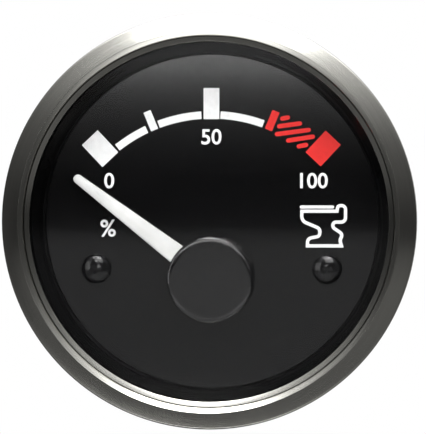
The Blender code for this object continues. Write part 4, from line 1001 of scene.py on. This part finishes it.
class GAUGE_OT_symbol(bpy.types.Operator):
    """Print the bowl symbol: an outline of the bowl, foot and hinge, and the lid as a bar above it"""

    bl_idname = "gauge.symbol"
    bl_label = "Print bowl symbol"

    def execute(self, context):
        half = sizes().symbol_line / 2
        front, rear = DIAL_FRONT_Y - sizes().print_height, DIAL_FRONT_Y
        corners = (
            (13.65, 1.52, 0.0), (13.62, 0.05, 1.30), (16.42, -1.12, 0.75), (16.30, -2.25, 0.55),
            (14.52, -2.60, 0.90), (14.50, -3.70, 0.0), (19.62, -3.70, 0.0), (19.38, -2.85, 0.45),
            (19.80, -1.95, 0.70), (18.22, -0.85, 0.55), (18.45, -0.12, 0.45), (20.22, -0.12, 0.65),
            (20.22, 2.36, 0.85), (19.05, 2.36, 0.45), (18.95, 1.52, 0.0),
        )
        path = [Vector(point) * MM for point in rounded(corners)]
        bowl = slab("bowl", self.offset(path, -half), front, rear)
        inside = slab("inside", self.offset(path, half), front - MM, rear + MM)
        combine(bowl, inside, "DIFFERENCE")
        lid_z, lid_width = 2.15 * MM, 0.95 * 2 * half
        lid = stroke("lid", [(13.56 * MM, lid_z), (18.28 * MM, lid_z)], lid_width, front, rear)
        white = ink("white ink", colours().white_ink)
        finish(join([bowl, lid]), "bowl_symbol", "gauge", white)
        return {"FINISHED"}

    def offset(self, path, distance):
        """The closed path moved sideways by a distance, to the left of its way, with its corners kept."""
        moved = []
        for index, point in enumerate(path):
            before = (point - path[index - 1]).normalized()
            after = (path[(index + 1) % len(path)] - point).normalized()
            side = Vector((-(before.y + after.y), before.x + after.x)).normalized()
            moved.append(point + side * distance / max(0.4, side.dot(Vector((-after.y, after.x)))))
        return moved


# Behind the panel


def drill(piece, places, radius, front, rear, steps=32):
    """Bore holes along Y through a piece."""
    for centre in places:
        combine(piece, rod("drill", radius, front, rear, centre, steps), "DIFFERENCE")
    return piece


def centre_of(node):
    """A turned node's centre (x, z)."""
    low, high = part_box(node)
    return ((low.x + high.x) / 2, (low.z + high.z) / 2)


TERMINALS = ("signal", "ground", "supply")
SIDES = ("left", "right")


class GAUGE_OT_case(bpy.types.Operator):
    """Turn the black case with its head, collar, body and softened rear edge, and add pads and holes"""

    bl_idname = "gauge.case"
    bl_label = "Model case"

    def execute(self, context):
        rear = 28.0 * MM
        floor = 26.8 * MM
        profile = rounded([
            (0.0, rear, 0.0),
            (25.8 * MM, rear, 1.0 * MM),
            (25.8 * MM, -0.2 * MM, 0.0),
            (27.5 * MM, -0.2 * MM, 0.2 * MM),
            (27.5 * MM, -2.5 * MM, 0.0),
            (30.1 * MM, -2.5 * MM, 0.2 * MM),
            (30.1 * MM, -4.7 * MM, 0.2 * MM),
            (27.6 * MM, -4.7 * MM, 0.1 * MM),
            (27.6 * MM, -3.9 * MM, 0.0),
            (26.3 * MM, -3.9 * MM, 0.0),
            (26.3 * MM, -1.2 * MM, 0.0),
            (24.6 * MM, -1.2 * MM, 0.0),
            (24.6 * MM, floor, 0.4 * MM),
            (0.0, floor, 0.0),
        ], steps=5, closed=False)
        case = lathe("case_shell", profile, 128, closed=False)
        studs = [centre_of("mount_stud_" + side) for side in SIDES]
        posts = [centre_of("terminal_stud_" + name) for name in TERMINALS]
        sunk = rear - 0.4 * MM
        for centre in studs + posts:
            boss = lathe("pad", rounded([
                (0.0, sunk, 0.0), (4.6 * MM, sunk, 0.0), (4.6 * MM, CASE_REAR_Y, 0.2 * MM),
                (0.0, CASE_REAR_Y, 0.0),
            ], steps=3, closed=False), 48, centre, closed=False)
            combine(case, boss, "UNION")
        drill(case, studs + posts, M4_CLEARANCE, floor - MM, CASE_REAR_Y + MM)
        finish(case, "case_shell", "gauge", moulding(), ("case",))
        return {"FINISHED"}


class GAUGE_OT_gasket(bpy.types.Operator):
    """Turn the rubber gasket that lies on the panel"""

    bl_idname = "gauge.gasket"
    bl_label = "Model gasket"

    def execute(self, context):
        low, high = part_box("panel_gasket")
        edge = 0.3 * MM
        profile = rounded([
            (27.8 * MM, low.y, edge), (high.x, low.y, edge),
            (high.x, high.y, edge), (27.8 * MM, high.y, edge),
        ], steps=4)
        gasket = lathe("gasket_ring", profile, sizes().round_steps)
        finish(gasket, "gasket_ring", "gauge", rubber(), ("panel_gasket",))
        return {"FINISHED"}


def cut_thread(stud, centre, front, rear, crest):
    """Cut a helical groove round a stud between two stations, running out past its tip."""
    pitch = sizes().thread_pitch
    root, clear = crest - sizes().thread_depth, crest + 0.3 * MM
    profile = [
        (root, 0.44 * pitch), (crest, 0.08 * pitch), (clear, 0.08 * pitch),
        (clear, 0.92 * pitch), (crest, 0.92 * pitch), (root, 0.56 * pitch),
    ]
    groove = draw("groove", [(radius, y, 0.0) for radius, y in profile])
    bpy.ops.mesh.edge_face_add()
    bpy.ops.mesh.delete(type="ONLY_FACE")
    leave_edit()
    helix = groove.modifiers.new("helix", "SCREW")
    helix.axis = "Y"
    helix.angle = 2 * math.pi
    helix.screw_offset = pitch
    helix.iterations = math.ceil((rear - front) / pitch) + 1
    helix.steps = 20
    helix.render_steps = 20
    helix.use_smooth_shade = False
    bpy.ops.object.modifier_apply(modifier=helix.name)
    edit_all()
    bpy.ops.mesh.remove_doubles(threshold=WELD)
    bpy.ops.mesh.fill_holes(sides=8)
    close_shape()
    groove.location = (centre[0], front, centre[1])
    activate(groove)
    apply_place()
    return combine(stud, groove, "DIFFERENCE")


def stud_end(tip):
    """The last corners of a stud's profile: from its head along the M4 shank to its chamfered tip."""
    return [
        (M4_RADIUS, STUD_HEAD_REAR_Y, 0.0), (M4_RADIUS, tip - 0.4 * MM, 0.0), (1.6 * MM, tip, 0.0),
        (0.0, tip, 0.0),
    ]


class GAUGE_OT_terminals(bpy.types.Operator):
    """Turn and thread one terminal stud, make its washer and hexagon nut, and copy them to the other two"""

    bl_idname = "gauge.terminals"
    bl_label = "Model terminals"

    def execute(self, context):
        first = centre_of("terminal_stud_signal")
        low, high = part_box("terminal_stud_signal")
        pin_radius, head_front = 1.2 * MM, 24.6 * MM
        stud = lathe("terminal", rounded([
            (0.0, low.y, 0.0), (pin_radius, low.y, 0.1 * MM), (pin_radius, head_front, 0.0),
            (3.6 * MM, head_front, 0.2 * MM), (3.6 * MM, STUD_HEAD_REAR_Y, 0.0),
        ] + stud_end(high.y), steps=3, closed=False), TURNED_STEPS, first, closed=False)
        cut_thread(stud, first, THREAD_START_Y, high.y, M4_RADIUS)
        washer_low, washer_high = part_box("terminal_washer_signal")
        washer = lathe("washer", rounded([
            (M4_CLEARANCE, washer_low.y, 0.06 * MM), (4.0 * MM, washer_low.y, 0.15 * MM),
            (4.0 * MM, washer_high.y, 0.06 * MM), (M4_CLEARANCE, washer_high.y, 0.15 * MM),
        ], steps=3), 64, first)
        nut_low, nut_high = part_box("terminal_nut_signal")
        nut = self.hexagon_nut(first, nut_low.y, nut_high.y, 7.0 * MM)
        for piece, kind, slot, material in (
            (stud, "stud", "brass", brass()), (washer, "washer", "zinc_steel", zinc()),
            (nut, "nut", "brass", brass()),
        ):
            for name in TERMINALS[1:]:
                centre = centre_of("terminal_stud_" + name)
                offset = (centre[0] - first[0], 0.0, centre[1] - first[1])
                copied = copy_piece(piece, "terminal", offset)
                finish(copied, f"{name}_{kind}", "gauge", material, (f"terminal_{kind}_{name}",))
            finish(piece, f"signal_{kind}", "gauge", material, (f"terminal_{kind}_signal",))
        return {"FINISHED"}

    def hexagon_nut(self, centre, front, rear, flats):
        """A hexagon nut, its corners chamfered by a turned body."""
        corner = flats / math.sqrt(3)
        nut = rod("nut", corner, front, rear, centre, 6)
        turn_piece(nut, math.pi / 6, centre)
        steepness, clear = 0.62, corner + 0.05 * MM
        slope = (corner - flats / 2) * steepness
        rounding = lathe("chamfer", [
            (0.0, front), (flats / 2, front), (clear, front + slope),
            (clear, rear - slope), (flats / 2, rear), (0.0, rear),
        ], 64, centre, closed=False)
        combine(nut, rounding, "INTERSECT")
        countersink = lathe("bore", [
            (0.0, front - MM), (2.9 * MM, front - 0.4 * MM), (M4_CLEARANCE, front + 0.3 * MM),
            (M4_CLEARANCE, rear - 0.3 * MM), (2.9 * MM, rear + 0.4 * MM), (0.0, rear + MM),
        ], TURNED_STEPS, centre, closed=False)
        return combine(nut, countersink, "DIFFERENCE")


class GAUGE_OT_clamp_studs(bpy.types.Operator):
    """Turn and thread one clamp stud and copy it to the other side"""

    bl_idname = "gauge.clamp_studs"
    bl_label = "Model clamp studs"

    def execute(self, context):
        low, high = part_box("mount_stud_left")
        centre = centre_of("mount_stud_left")
        stud = lathe("clamp_stud_a", rounded([
            (0.0, low.y, 0.0), (3.6 * MM, low.y, 0.25 * MM), (3.6 * MM, STUD_HEAD_REAR_Y, 0.0),
        ] + stud_end(high.y), steps=3, closed=False), TURNED_STEPS, centre, closed=False)
        cut_thread(stud, centre, THREAD_START_Y, high.y, M4_RADIUS)
        other = other_side(stud, "clamp_stud_b", centre)
        finish(stud, "clamp_stud_a", "gauge", zinc(), ("mount_stud_left",))
        finish(other, "clamp_stud_b", "gauge", zinc(), ("mount_stud_right",))
        return {"FINISHED"}


class GAUGE_OT_bracket(bpy.types.Operator):
    """Fold the clamp strap as a U, round its cut edges, punch its holes and notch its feet"""

    bl_idname = "gauge.bracket"
    bl_label = "Model strap"

    def execute(self, context):
        thickness = 1.5 * MM
        outer, inner = BRACKET_HIGH.x, BRACKET_HIGH.x - thickness
        foot, rear = BRACKET_LOW.y, BRACKET_HIGH.y
        bridge = rear - thickness
        half = BRACKET_HIGH.z
        outline = rounded([
            (-outer, foot, 0.0), (-outer, rear, 3.7 * MM), (outer, rear, 3.7 * MM), (outer, foot, 0.0),
            (inner, foot, 0.0), (inner, bridge, 2.2 * MM), (-inner, bridge, 2.2 * MM), (-inner, foot, 0.0),
        ], steps=10)
        draw("strap", [(x, y, -half) for x, y in outline])
        bpy.ops.mesh.edge_face_add()
        bpy.ops.mesh.extrude_region_move(TRANSFORM_OT_translate={"value": (0.0, 0.0, 2 * half)})
        strap = close_shape()
        for side in (-1, 1):
            xs = sorted((side * (inner - MM), side * (outer + MM)))
            notch = block("notch", (xs[0], foot - MM, -2.5 * MM), (xs[1], foot + 0.8 * MM, 2.5 * MM))
            combine(strap, notch, "DIFFERENCE")
        holes = [centre_of("mount_stud_" + side) for side in SIDES]
        drill(strap, holes, 2.3 * MM, bridge - MM, rear + MM, 40)
        round_edges(
            strap, lambda a, b: abs(a.z - b.z) < WELD and abs(abs(a.z) - half) < WELD, 0.18 * MM,
        )
        finish(strap, "clamp_strap", "clamp", bracket_zinc(), ("mount_bracket",))
        return {"FINISHED"}


class GAUGE_OT_lock_washers(bpy.types.Operator):
    """Wind one split spring washer and copy it to the other side"""

    bl_idname = "gauge.lock_washers"
    bl_label = "Model lock washers"

    def execute(self, context):
        low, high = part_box("lock_washer_left")
        centre = centre_of("lock_washer_left")
        slack, edge, radius = 0.06 * MM, 0.1 * MM, 4.4 * MM
        section = rounded([
            (M4_CLEARANCE, low.y + slack, edge), (radius, low.y + slack, edge),
            (radius, high.y - slack, edge), (M4_CLEARANCE, high.y - slack, edge),
        ], steps=2)
        washer = lathe("spring_washer_a", section, 60, centre, angle=math.radians(352))
        edit_all()
        bpy.ops.mesh.fill_holes(sides=len(section))
        close_shape()
        for point in washer.data.vertices:  # one end of the split stands proud of the other
            turn = math.atan2(point.co.z - centre[1], point.co.x - centre[0]) % (2 * math.pi)
            point.co.y += slack * (turn / math.pi - 1) * 0.98
        turn_piece(washer, 1.9, centre)
        other = other_side(washer, "spring_washer_b", centre, 2.3)
        finish(washer, "spring_washer_a", "clamp", zinc(), ("lock_washer_left",))
        finish(other, "spring_washer_b", "clamp", zinc(), ("lock_washer_right",))
        return {"FINISHED"}


class GAUGE_OT_thumb_nuts(bpy.types.Operator):
    """Turn one thumb nut with its collar, cut the flutes round its grip and copy it to the other side"""

    bl_idname = "gauge.thumb_nuts"
    bl_label = "Model thumb nuts"

    def execute(self, context):
        low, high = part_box("clamp_nut_left")
        centre = centre_of("clamp_nut_left")
        radius = 6.2 * MM
        grip = low.y + 1.5 * MM
        nut = lathe("thumb_nut_a", rounded([
            (M4_CLEARANCE, low.y, 0.2 * MM), (4.5 * MM, low.y, 0.2 * MM), (4.5 * MM, grip, 0.0),
            (radius, grip, 0.35 * MM), (radius, high.y, 0.35 * MM), (5.0 * MM, high.y, 0.1 * MM),
            (4.8 * MM, high.y - 0.3 * MM, 0.2 * MM), (2.9 * MM, high.y - 0.3 * MM, 0.1 * MM),
            (M4_CLEARANCE, high.y - 0.9 * MM, 0.0),
        ], steps=4), 132, centre)
        count = sizes().flutes
        flute_radius, beyond = 0.42 * MM, 0.5 * MM
        rim = (centre[0] + radius, centre[1])
        cutter = rod("flute", flute_radius, grip - beyond, high.y + beyond, rim, 12)
        flutes = [cutter]
        for index in range(1, count):
            copied = copy_piece(cutter, "flute", (0.0, 0.0, 0.0))
            flutes.append(turn_piece(copied, 2 * math.pi * index / count, centre))
        combine(nut, join(flutes), "DIFFERENCE")
        other = other_side(nut, "thumb_nut_b", centre, 0.17)
        finish(nut, "thumb_nut_a", "left_nut", zinc(), ("clamp_nut_left",))
        finish(other, "thumb_nut_b", "right_nut", zinc(), ("clamp_nut_right",))
        return {"FINISHED"}


# Finishes of the dial plate and the inner pieces, which keep their CAD solids


def wound_copper(name, along):
    """Enamelled wire: turns laid side by side along one axis ("X" or "Z")."""
    if kept(name):
        return kept(name)
    material, tree, shader = new_material(name, metallic=0.7, Coat_Weight=0.5, Coat_Roughness=0.15)
    where = place_on(tree)
    parts = add_node(tree, "ShaderNodeSeparateXYZ")
    feed(tree, parts.inputs[0], where)
    phase = math_node(tree, "MULTIPLY", parts.outputs[along], 2 * math.pi / WIRE_PITCH)
    turns = math_node(tree, "SINE", phase)
    tone = noise(tree, where, 900.0, 3.0, 0.6)
    dark, light = (0.34, 0.10, 0.03), colours().copper
    feed(tree, shader.inputs["Base Color"], mix_colour(tree, spread(tree, tone, 0.3, 0.7), dark, light))
    feed(tree, shader.inputs["Roughness"], spread(tree, turns, -1.0, 1.0, 0.45, 0.28))
    feed(tree, shader.inputs["Normal"], bump(tree, turns, 0.8, 0.00006))
    return material


def board_finish():
    """Green solder mask over copper tracks."""
    material, tree, shader = new_material("board mask", Coat_Weight=0.6, Coat_Roughness=0.15)
    where = place_on(tree)
    cells = add_node(tree, "ShaderNodeTexVoronoi", feature="DISTANCE_TO_EDGE", distance="MANHATTAN")
    feed(tree, cells.inputs["Vector"], where)
    feed(tree, cells.inputs["Scale"], 260.0)
    track = spread(tree, cells.outputs["Distance"], 0.10, 0.14)
    feed(tree, shader.inputs["Base Color"], mix_colour(tree, track, (0.035, 0.20, 0.07), (0.015, 0.10, 0.04)))
    feed(tree, shader.inputs["Roughness"], spread(tree, noise(tree, where, 1200.0), 0.3, 0.7, 0.35, 0.5))
    feed(tree, shader.inputs["Normal"], bump(tree, track, 0.4, 0.00004))
    return material


def banded(name, base, bands):
    """A small part's body with colour bands along X: (middle, half width, colour) in metres."""
    material, tree, shader = new_material(name, Coat_Weight=0.3)
    where = place_on(tree)
    parts = add_node(tree, "ShaderNodeSeparateXYZ")
    feed(tree, parts.inputs[0], where)
    cloud = spread(tree, noise(tree, where, 1500.0), 0.3, 0.7)
    colour = mix_colour(tree, cloud, base, [level * 0.85 for level in base])
    for middle, half, band in bands:
        away = math_node(tree, "ABSOLUTE", math_node(tree, "SUBTRACT", parts.outputs["X"], middle))
        colour = mix_colour(tree, math_node(tree, "LESS_THAN", away, half), colour, band)
    feed(tree, shader.inputs["Base Color"], colour)
    feed(tree, shader.inputs["Roughness"], spread(tree, noise(tree, where, 2500.0), 0.3, 0.7, 0.35, 0.5))
    return material


class GAUGE_OT_inner_parts(bpy.types.Operator):
    """Give finishes to the pieces that keep their solids: dial plate, seal, movement, light box and board"""

    bl_idname = "gauge.inner_parts"
    bl_label = "Finish inner pieces"

    def execute(self, context):
        white = moulded("light box white", (0.84, 0.84, 0.82), 3500.0, 0.15, 0.42, 0.0)
        nylon = moulded("natural nylon", (0.70, 0.66, 0.55), 3500.0, 0.2, 0.48, 0.0, Subsurface_Weight=0.1)
        magnet = moulded("magnet grey", (0.10, 0.10, 0.11), 2500.0, 0.5, 0.50, 0.0)
        led = moulded("led clear", (0.86, 0.84, 0.70), 3000.0, 0.05, 0.15, 0.0, Transmission_Weight=0.6)
        can = turned_metal("shield steel", (0.52, 0.53, 0.54), (0.0, 0.0, PIVOT_Z), 5000.0, 0.2, 0.32)
        steel = turned_metal("spindle steel", (0.62, 0.62, 0.62), (0.0, 0.0, PIVOT_Z), 16000.0, 0.1, 0.22)
        dial = moulded(
            "dial black", colours().dial, 9000.0, 0.0, 0.6, 0.0, Specular_IOR_Level=0.0, Coat_Weight=1.0,
            Coat_Roughness=0.05, Coat_IOR=1.5,
        )
        leads = [(side * 4.3 * MM, 1.3 * MM, (0.60, 0.60, 0.58)) for side in (-1, 1)]
        colour_code = (
            (-2.2, (0.30, 0.12, 0.02)), (-1.1, (0.02, 0.02, 0.02)), (0.0, (0.55, 0.03, 0.02)),
            (2.1, (0.60, 0.42, 0.10)),
        )
        code_bands = [(x * MM, 0.3 * MM, band) for x, band in colour_code]
        cathode_band = [(2.0 * MM, 0.35 * MM, (0.60, 0.60, 0.60))]
        resistor = banded("resistor tan", (0.60, 0.45, 0.27), code_bands + leads)
        diode = banded("diode black", (0.018, 0.018, 0.018), cathode_band + leads)
        capacitor = banded("capacitor sleeve", (0.03, 0.04, 0.14), [(-11.0 * MM, 0.5 * MM, (0.5, 0.5, 0.52))])
        finishes = {
            "dial_plate": dial, "lens_seal": rubber(), "light_box": white, "bobbin_front": nylon,
            "bobbin_rear": nylon, "rotor_magnet": magnet, "return_magnet": magnet, "shield_can": can,
            "spindle": steel, "stop_arm": brass(), "balance_weight": brass(), "front_bush": brass(),
            "thrust_cup": brass(), "circuit_board": board_finish(), "resistor": resistor, "diode": diode,
            "capacitor": capacitor, "led_left": led, "led_right": led, "board_screw_left": zinc(),
            "board_screw_right": zinc(), "cosine_coil_left": wound_copper("cosine winding", "X"),
            "cosine_coil_right": wound_copper("cosine winding", "X"),
            "sine_coil_lower": wound_copper("sine winding", "Z"),
            "sine_coil_upper": wound_copper("sine winding", "Z"),
        }
        finishes.update({f"coil_pin_{index}": brass() for index in (1, 2, 3, 4)})
        for name, material in finishes.items():
            node = CAD_NODES[name]
            node.data.materials.clear()
            node.data.materials.append(material)
        return {"FINISHED"}


# Stage


def surround_material():
    """The studio round the gauge, which shows only in gloss: brightness set by direction from the gauge.

    Round the sides are dark walls under a bright ceiling, with a grey lower half. Further to the front, the
    lower half repeats the upper one, as a white table would. Straight ahead are the narrow bands that the
    dial's flat coat mirrors, and behind is a paler wall. One overhead strip lights the rolled edges.
    """
    material, tree, shader = new_material("studio surround")
    tree.nodes.remove(shader)
    unit = add_node(tree, "ShaderNodeVectorMath", operation="NORMALIZE")
    feed(tree, unit.inputs[0], place_on(tree))
    parts = add_node(tree, "ShaderNodeSeparateXYZ")
    feed(tree, parts.inputs[0], unit.outputs[0])
    x, y, z = parts.outputs
    brightest = 8.0

    def ramp(value, reach, stops):
        """Brightness by height, from (height within the reach, brightness)."""
        made = add_node(tree, "ShaderNodeValToRGB")
        feed(tree, made.inputs["Fac"], spread(tree, value, -reach, reach))
        elements = made.color_ramp.elements
        while len(elements) < len(stops):
            elements.new(0.5)
        for element, (level, strength) in zip(elements, stops):
            element.position = (level / reach + 1) / 2
            element.color = (strength / brightest, strength / brightest, strength / brightest, 1.0)
        return made.outputs["Color"]

    # The table: in this range of y, a height below the middle counts as the same height above it
    table_share = math_node(tree, "MULTIPLY", spread(tree, y, -0.48, -0.40), spread(tree, y, -0.20, -0.26))
    signed = math_node(tree, "SUBTRACT", math_node(tree, "SIGN", z), 1.0)
    flip = math_node(tree, "MULTIPLY_ADD", signed, table_share, 1.0)
    lifted = math_node(tree, "MULTIPLY", z, flip)
    # The walls and the ceiling, a little brighter to the right
    tilt = math_node(tree, "MULTIPLY", math_node(tree, "MULTIPLY", x, flip), 0.07)
    top = math_node(tree, "MULTIPLY_ADD", table_share, 0.095, 0.835)
    slanted = math_node(tree, "ADD", tilt, math_node(tree, "DIVIDE", lifted, top))
    upper = ramp(slanted, 1.2, (
        (-0.20, 0.02), (0.07, 0.028), (0.44, 0.10), (0.56, 0.19), (0.657, 0.29), (0.757, 0.49), (0.83, 0.72),
        (0.90, 1.05), (0.96, 2.2), (1.2, 3.0),
    ))
    lower = ramp(z, 1.0, (
        (-1.0, 0.03), (-0.93, 0.05), (-0.86, 0.105), (-0.3, 0.12), (-0.15, 0.085), (0.0, 0.07),
    ))
    lower = mix_colour(tree, 1.0, lower, spread(tree, x, -1.0, 1.0, 0.85, 1.15), "MULTIPLY")
    below = spread(tree, lifted, -0.118, -0.126)
    ring = mix_colour(tree, below, upper, lower)
    least = (0.006, 0.006, 0.006)
    ring = mix_colour(tree, table_share, ring, mix_colour(tree, 1.0, ring, least, "LIGHTEN"))
    # Straight ahead: what the dial's coat and other flat faces mirror, with the level step of the sheen
    ahead = ramp(z, 0.5, (
        (-0.5, 0.4), (-0.14, 0.4), (-0.12, 1.2), (-0.094, 1.2), (-0.088, 0.40), (-0.022, 0.42),
        (-0.0155, 0.03), (0.006, 0.03), (0.0141, 0.07), (0.0249, 0.15), (0.0357, 0.36), (0.041, 0.50),
        (0.0465, 0.80), (0.0519, 1.4), (0.0573, 2.5), (0.09, 2.8), (0.5, 2.8),
    ))
    behind = ramp(z, 1.0, ((-1.0, 0.25), (-0.2, 0.45), (0.0, 0.55), (0.5, 1.0), (1.0, 1.5)))
    mixed = mix_colour(tree, spread(tree, y, -0.94, -0.96), ring, ahead)
    mixed = mix_colour(tree, spread(tree, y, 0.80, 0.95), mixed, behind)
    # The overhead strip
    beside = spread(tree, math_node(tree, "ABSOLUTE", x), 0.36, 0.30)
    strip = math_node(tree, "MULTIPLY", spread(tree, z, 0.74, 0.80), beside)
    mixed = mix_colour(tree, strip, mixed, (1.0, 1.0, 1.0))
    glow = add_node(tree, "ShaderNodeEmission")
    feed(tree, glow.inputs["Color"], mixed)
    glow.inputs["Strength"].default_value = brightest
    feed(tree, tree.nodes["Material Output"].inputs["Surface"], glow.outputs[0])
    return material


def floor_material():
    """A pale floor that fades into the white background away from the gauge."""
    material, tree, shader = new_material("pale floor", Roughness=0.6, Specular_IOR_Level=0.1)
    shader.inputs["Base Color"].default_value = (0.86, 0.86, 0.86, 1.0)
    where = place_on(tree)
    reach = add_node(tree, "ShaderNodeVectorMath", operation="LENGTH")
    feed(tree, reach.inputs[0], where)
    clear = add_node(tree, "ShaderNodeBsdfTransparent")
    mix = add_node(tree, "ShaderNodeMixShader")
    feed(tree, mix.inputs[0], spread(tree, reach.outputs["Value"], 0.15, 0.42))
    feed(tree, mix.inputs[1], shader.outputs[0])
    feed(tree, mix.inputs[2], clear.outputs[0])
    feed(tree, tree.nodes["Material Output"].inputs["Surface"], mix.outputs[0])
    return material


def white_world():
    """A white background for what the camera sees, also past glass and in gloss."""
    world = bpy.data.worlds.new("white background")
    world.use_nodes = True
    tree = world.node_tree
    path = add_node(tree, "ShaderNodeLightPath")
    seen = math_node(tree, "MAXIMUM", path.outputs["Is Camera Ray"], path.outputs["Is Glossy Ray"])
    seen = math_node(tree, "MAXIMUM", seen, path.outputs["Is Transmission Ray"])
    background = tree.nodes["Background"]
    background.inputs["Color"].default_value = (1.0, 1.0, 1.0, 1.0)
    feed(tree, background.inputs["Strength"], seen)
    bpy.context.scene.world = world


def area_lamp(name, place, size, power):
    """A soft lamp that points at the gauge and shows in no reflection."""
    bpy.ops.object.light_add(type="AREA", location=place)
    lamp = bpy.context.object
    lamp.name = name
    lamp.data.size = size
    lamp.data.energy = power
    lamp.rotation_euler = (-Vector(place)).to_track_quat("-Z", "Y").to_euler()
    lamp.visible_glossy = False
    return lamp


class GAUGE_OT_stage(bpy.types.Operator):
    """Set the pale floor, the studio surround, the soft lamps and the camera"""

    bl_idname = "gauge.stage"
    bl_label = "Set stage"

    def execute(self, context):
        scene = context.scene
        scene.view_settings.view_transform = "Standard"
        white_world()
        bpy.ops.object.select_all(action="DESELECT")
        floor_place = (0.0, 0.0, -0.08)
        bpy.ops.mesh.primitive_circle_add(vertices=96, radius=0.45, fill_type="NGON", location=floor_place)
        floor = bpy.context.object
        floor.name = "pale_floor"
        floor.data.materials.append(floor_material())
        floor.visible_glossy = False
        bpy.ops.object.select_all(action="DESELECT")
        bpy.ops.mesh.primitive_uv_sphere_add(segments=48, ring_count=24, radius=1.0, location=(0.0, 0.0, 0.0))
        surround = bpy.context.object
        surround.name = "studio_surround"
        surround.data.materials.append(surround_material())
        surround.visible_camera = False
        surround.visible_shadow = False
        surround.visible_diffuse = False
        area_lamp("key_lamp", (0.12, -0.55, 0.60), 0.55, 4.2)
        area_lamp("fill_lamp", (-0.55, -0.50, 0.15), 0.50, 1.6)
        area_lamp("rear_lamp", (0.30, 0.60, 0.45), 0.50, 4.2)
        self.aim_camera(scene)
        return {"FINISHED"}

    def aim_camera(self, scene):
        """The camera stands a little to the right of the axis and looks almost straight at the dial."""
        azimuth, elevation, distance = math.radians(4.2), math.radians(0.7), 0.5
        shift_right, shift_up = 0.42, 0.66
        level = math.cos(elevation)
        back = Vector((math.sin(azimuth) * level, -math.cos(azimuth) * level, math.sin(elevation)))
        right = Vector((math.cos(azimuth), math.sin(azimuth), 0.0))
        middle = Vector((0.0, -5.0 * MM, 0.0))
        target = middle + right * shift_right * MM + Vector((0.0, 0.0, shift_up * MM))
        bpy.ops.object.camera_add(location=target + back * distance)
        camera = bpy.context.object
        camera.name = "front_camera"
        camera.rotation_euler = back.to_track_quat("Z", "Y").to_euler()
        camera.data.sensor_fit = "AUTO"
        camera.data.sensor_width = 36.0
        camera.data.lens = 276.3
        camera.data.clip_start = 0.01
        scene.camera = camera


OPERATORS = (
    GAUGE_OT_bezel, GAUGE_OT_lens, GAUGE_OT_spacer, GAUGE_OT_dial_screws, GAUGE_OT_pointer, GAUGE_OT_hub_cap,
    GAUGE_OT_scale, GAUGE_OT_numerals, GAUGE_OT_symbol, GAUGE_OT_case, GAUGE_OT_gasket, GAUGE_OT_terminals,
    GAUGE_OT_clamp_studs, GAUGE_OT_bracket, GAUGE_OT_lock_washers, GAUGE_OT_thumb_nuts, GAUGE_OT_inner_parts,
    GAUGE_OT_stage,
)


class GAUGE_PT_pieces(bpy.types.Panel):
    """Lists the gauge's sizes, colours and operators"""

    bl_idname = "GAUGE_PT_pieces"
    bl_label = "Level gauge"
    bl_space_type = "VIEW_3D"
    bl_region_type = "UI"
    bl_category = "Gauge"

    def draw(self, context):
        for group in (context.scene.gauge_sizes, context.scene.gauge_colours):
            box = self.layout.box()
            for key in group.__annotations__:
                box.prop(group, key)
        for operator in OPERATORS:
            self.layout.operator(operator.bl_idname)


CLASSES = (GaugeSizes, GaugeColours) + OPERATORS + (GAUGE_PT_pieces,)


def register():
    """Register the classes and the two groups of values."""
    for cls in CLASSES:
        bpy.utils.register_class(cls)
    bpy.types.Scene.gauge_sizes = PointerProperty(type=GaugeSizes)
    bpy.types.Scene.gauge_colours = PointerProperty(type=GaugeColours)


def unregister():
    """Take the classes and the two groups away again."""
    del bpy.types.Scene.gauge_colours
    del bpy.types.Scene.gauge_sizes
    for cls in reversed(CLASSES):
        bpy.utils.unregister_class(cls)


def main():
    """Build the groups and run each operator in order."""
    register()
    for build in GROUP_BUILDERS:
        build()
    for operator in OPERATORS:
        getattr(bpy.ops.gauge, operator.bl_idname.split(".")[1])()


if __name__ == "__main__":
    main()
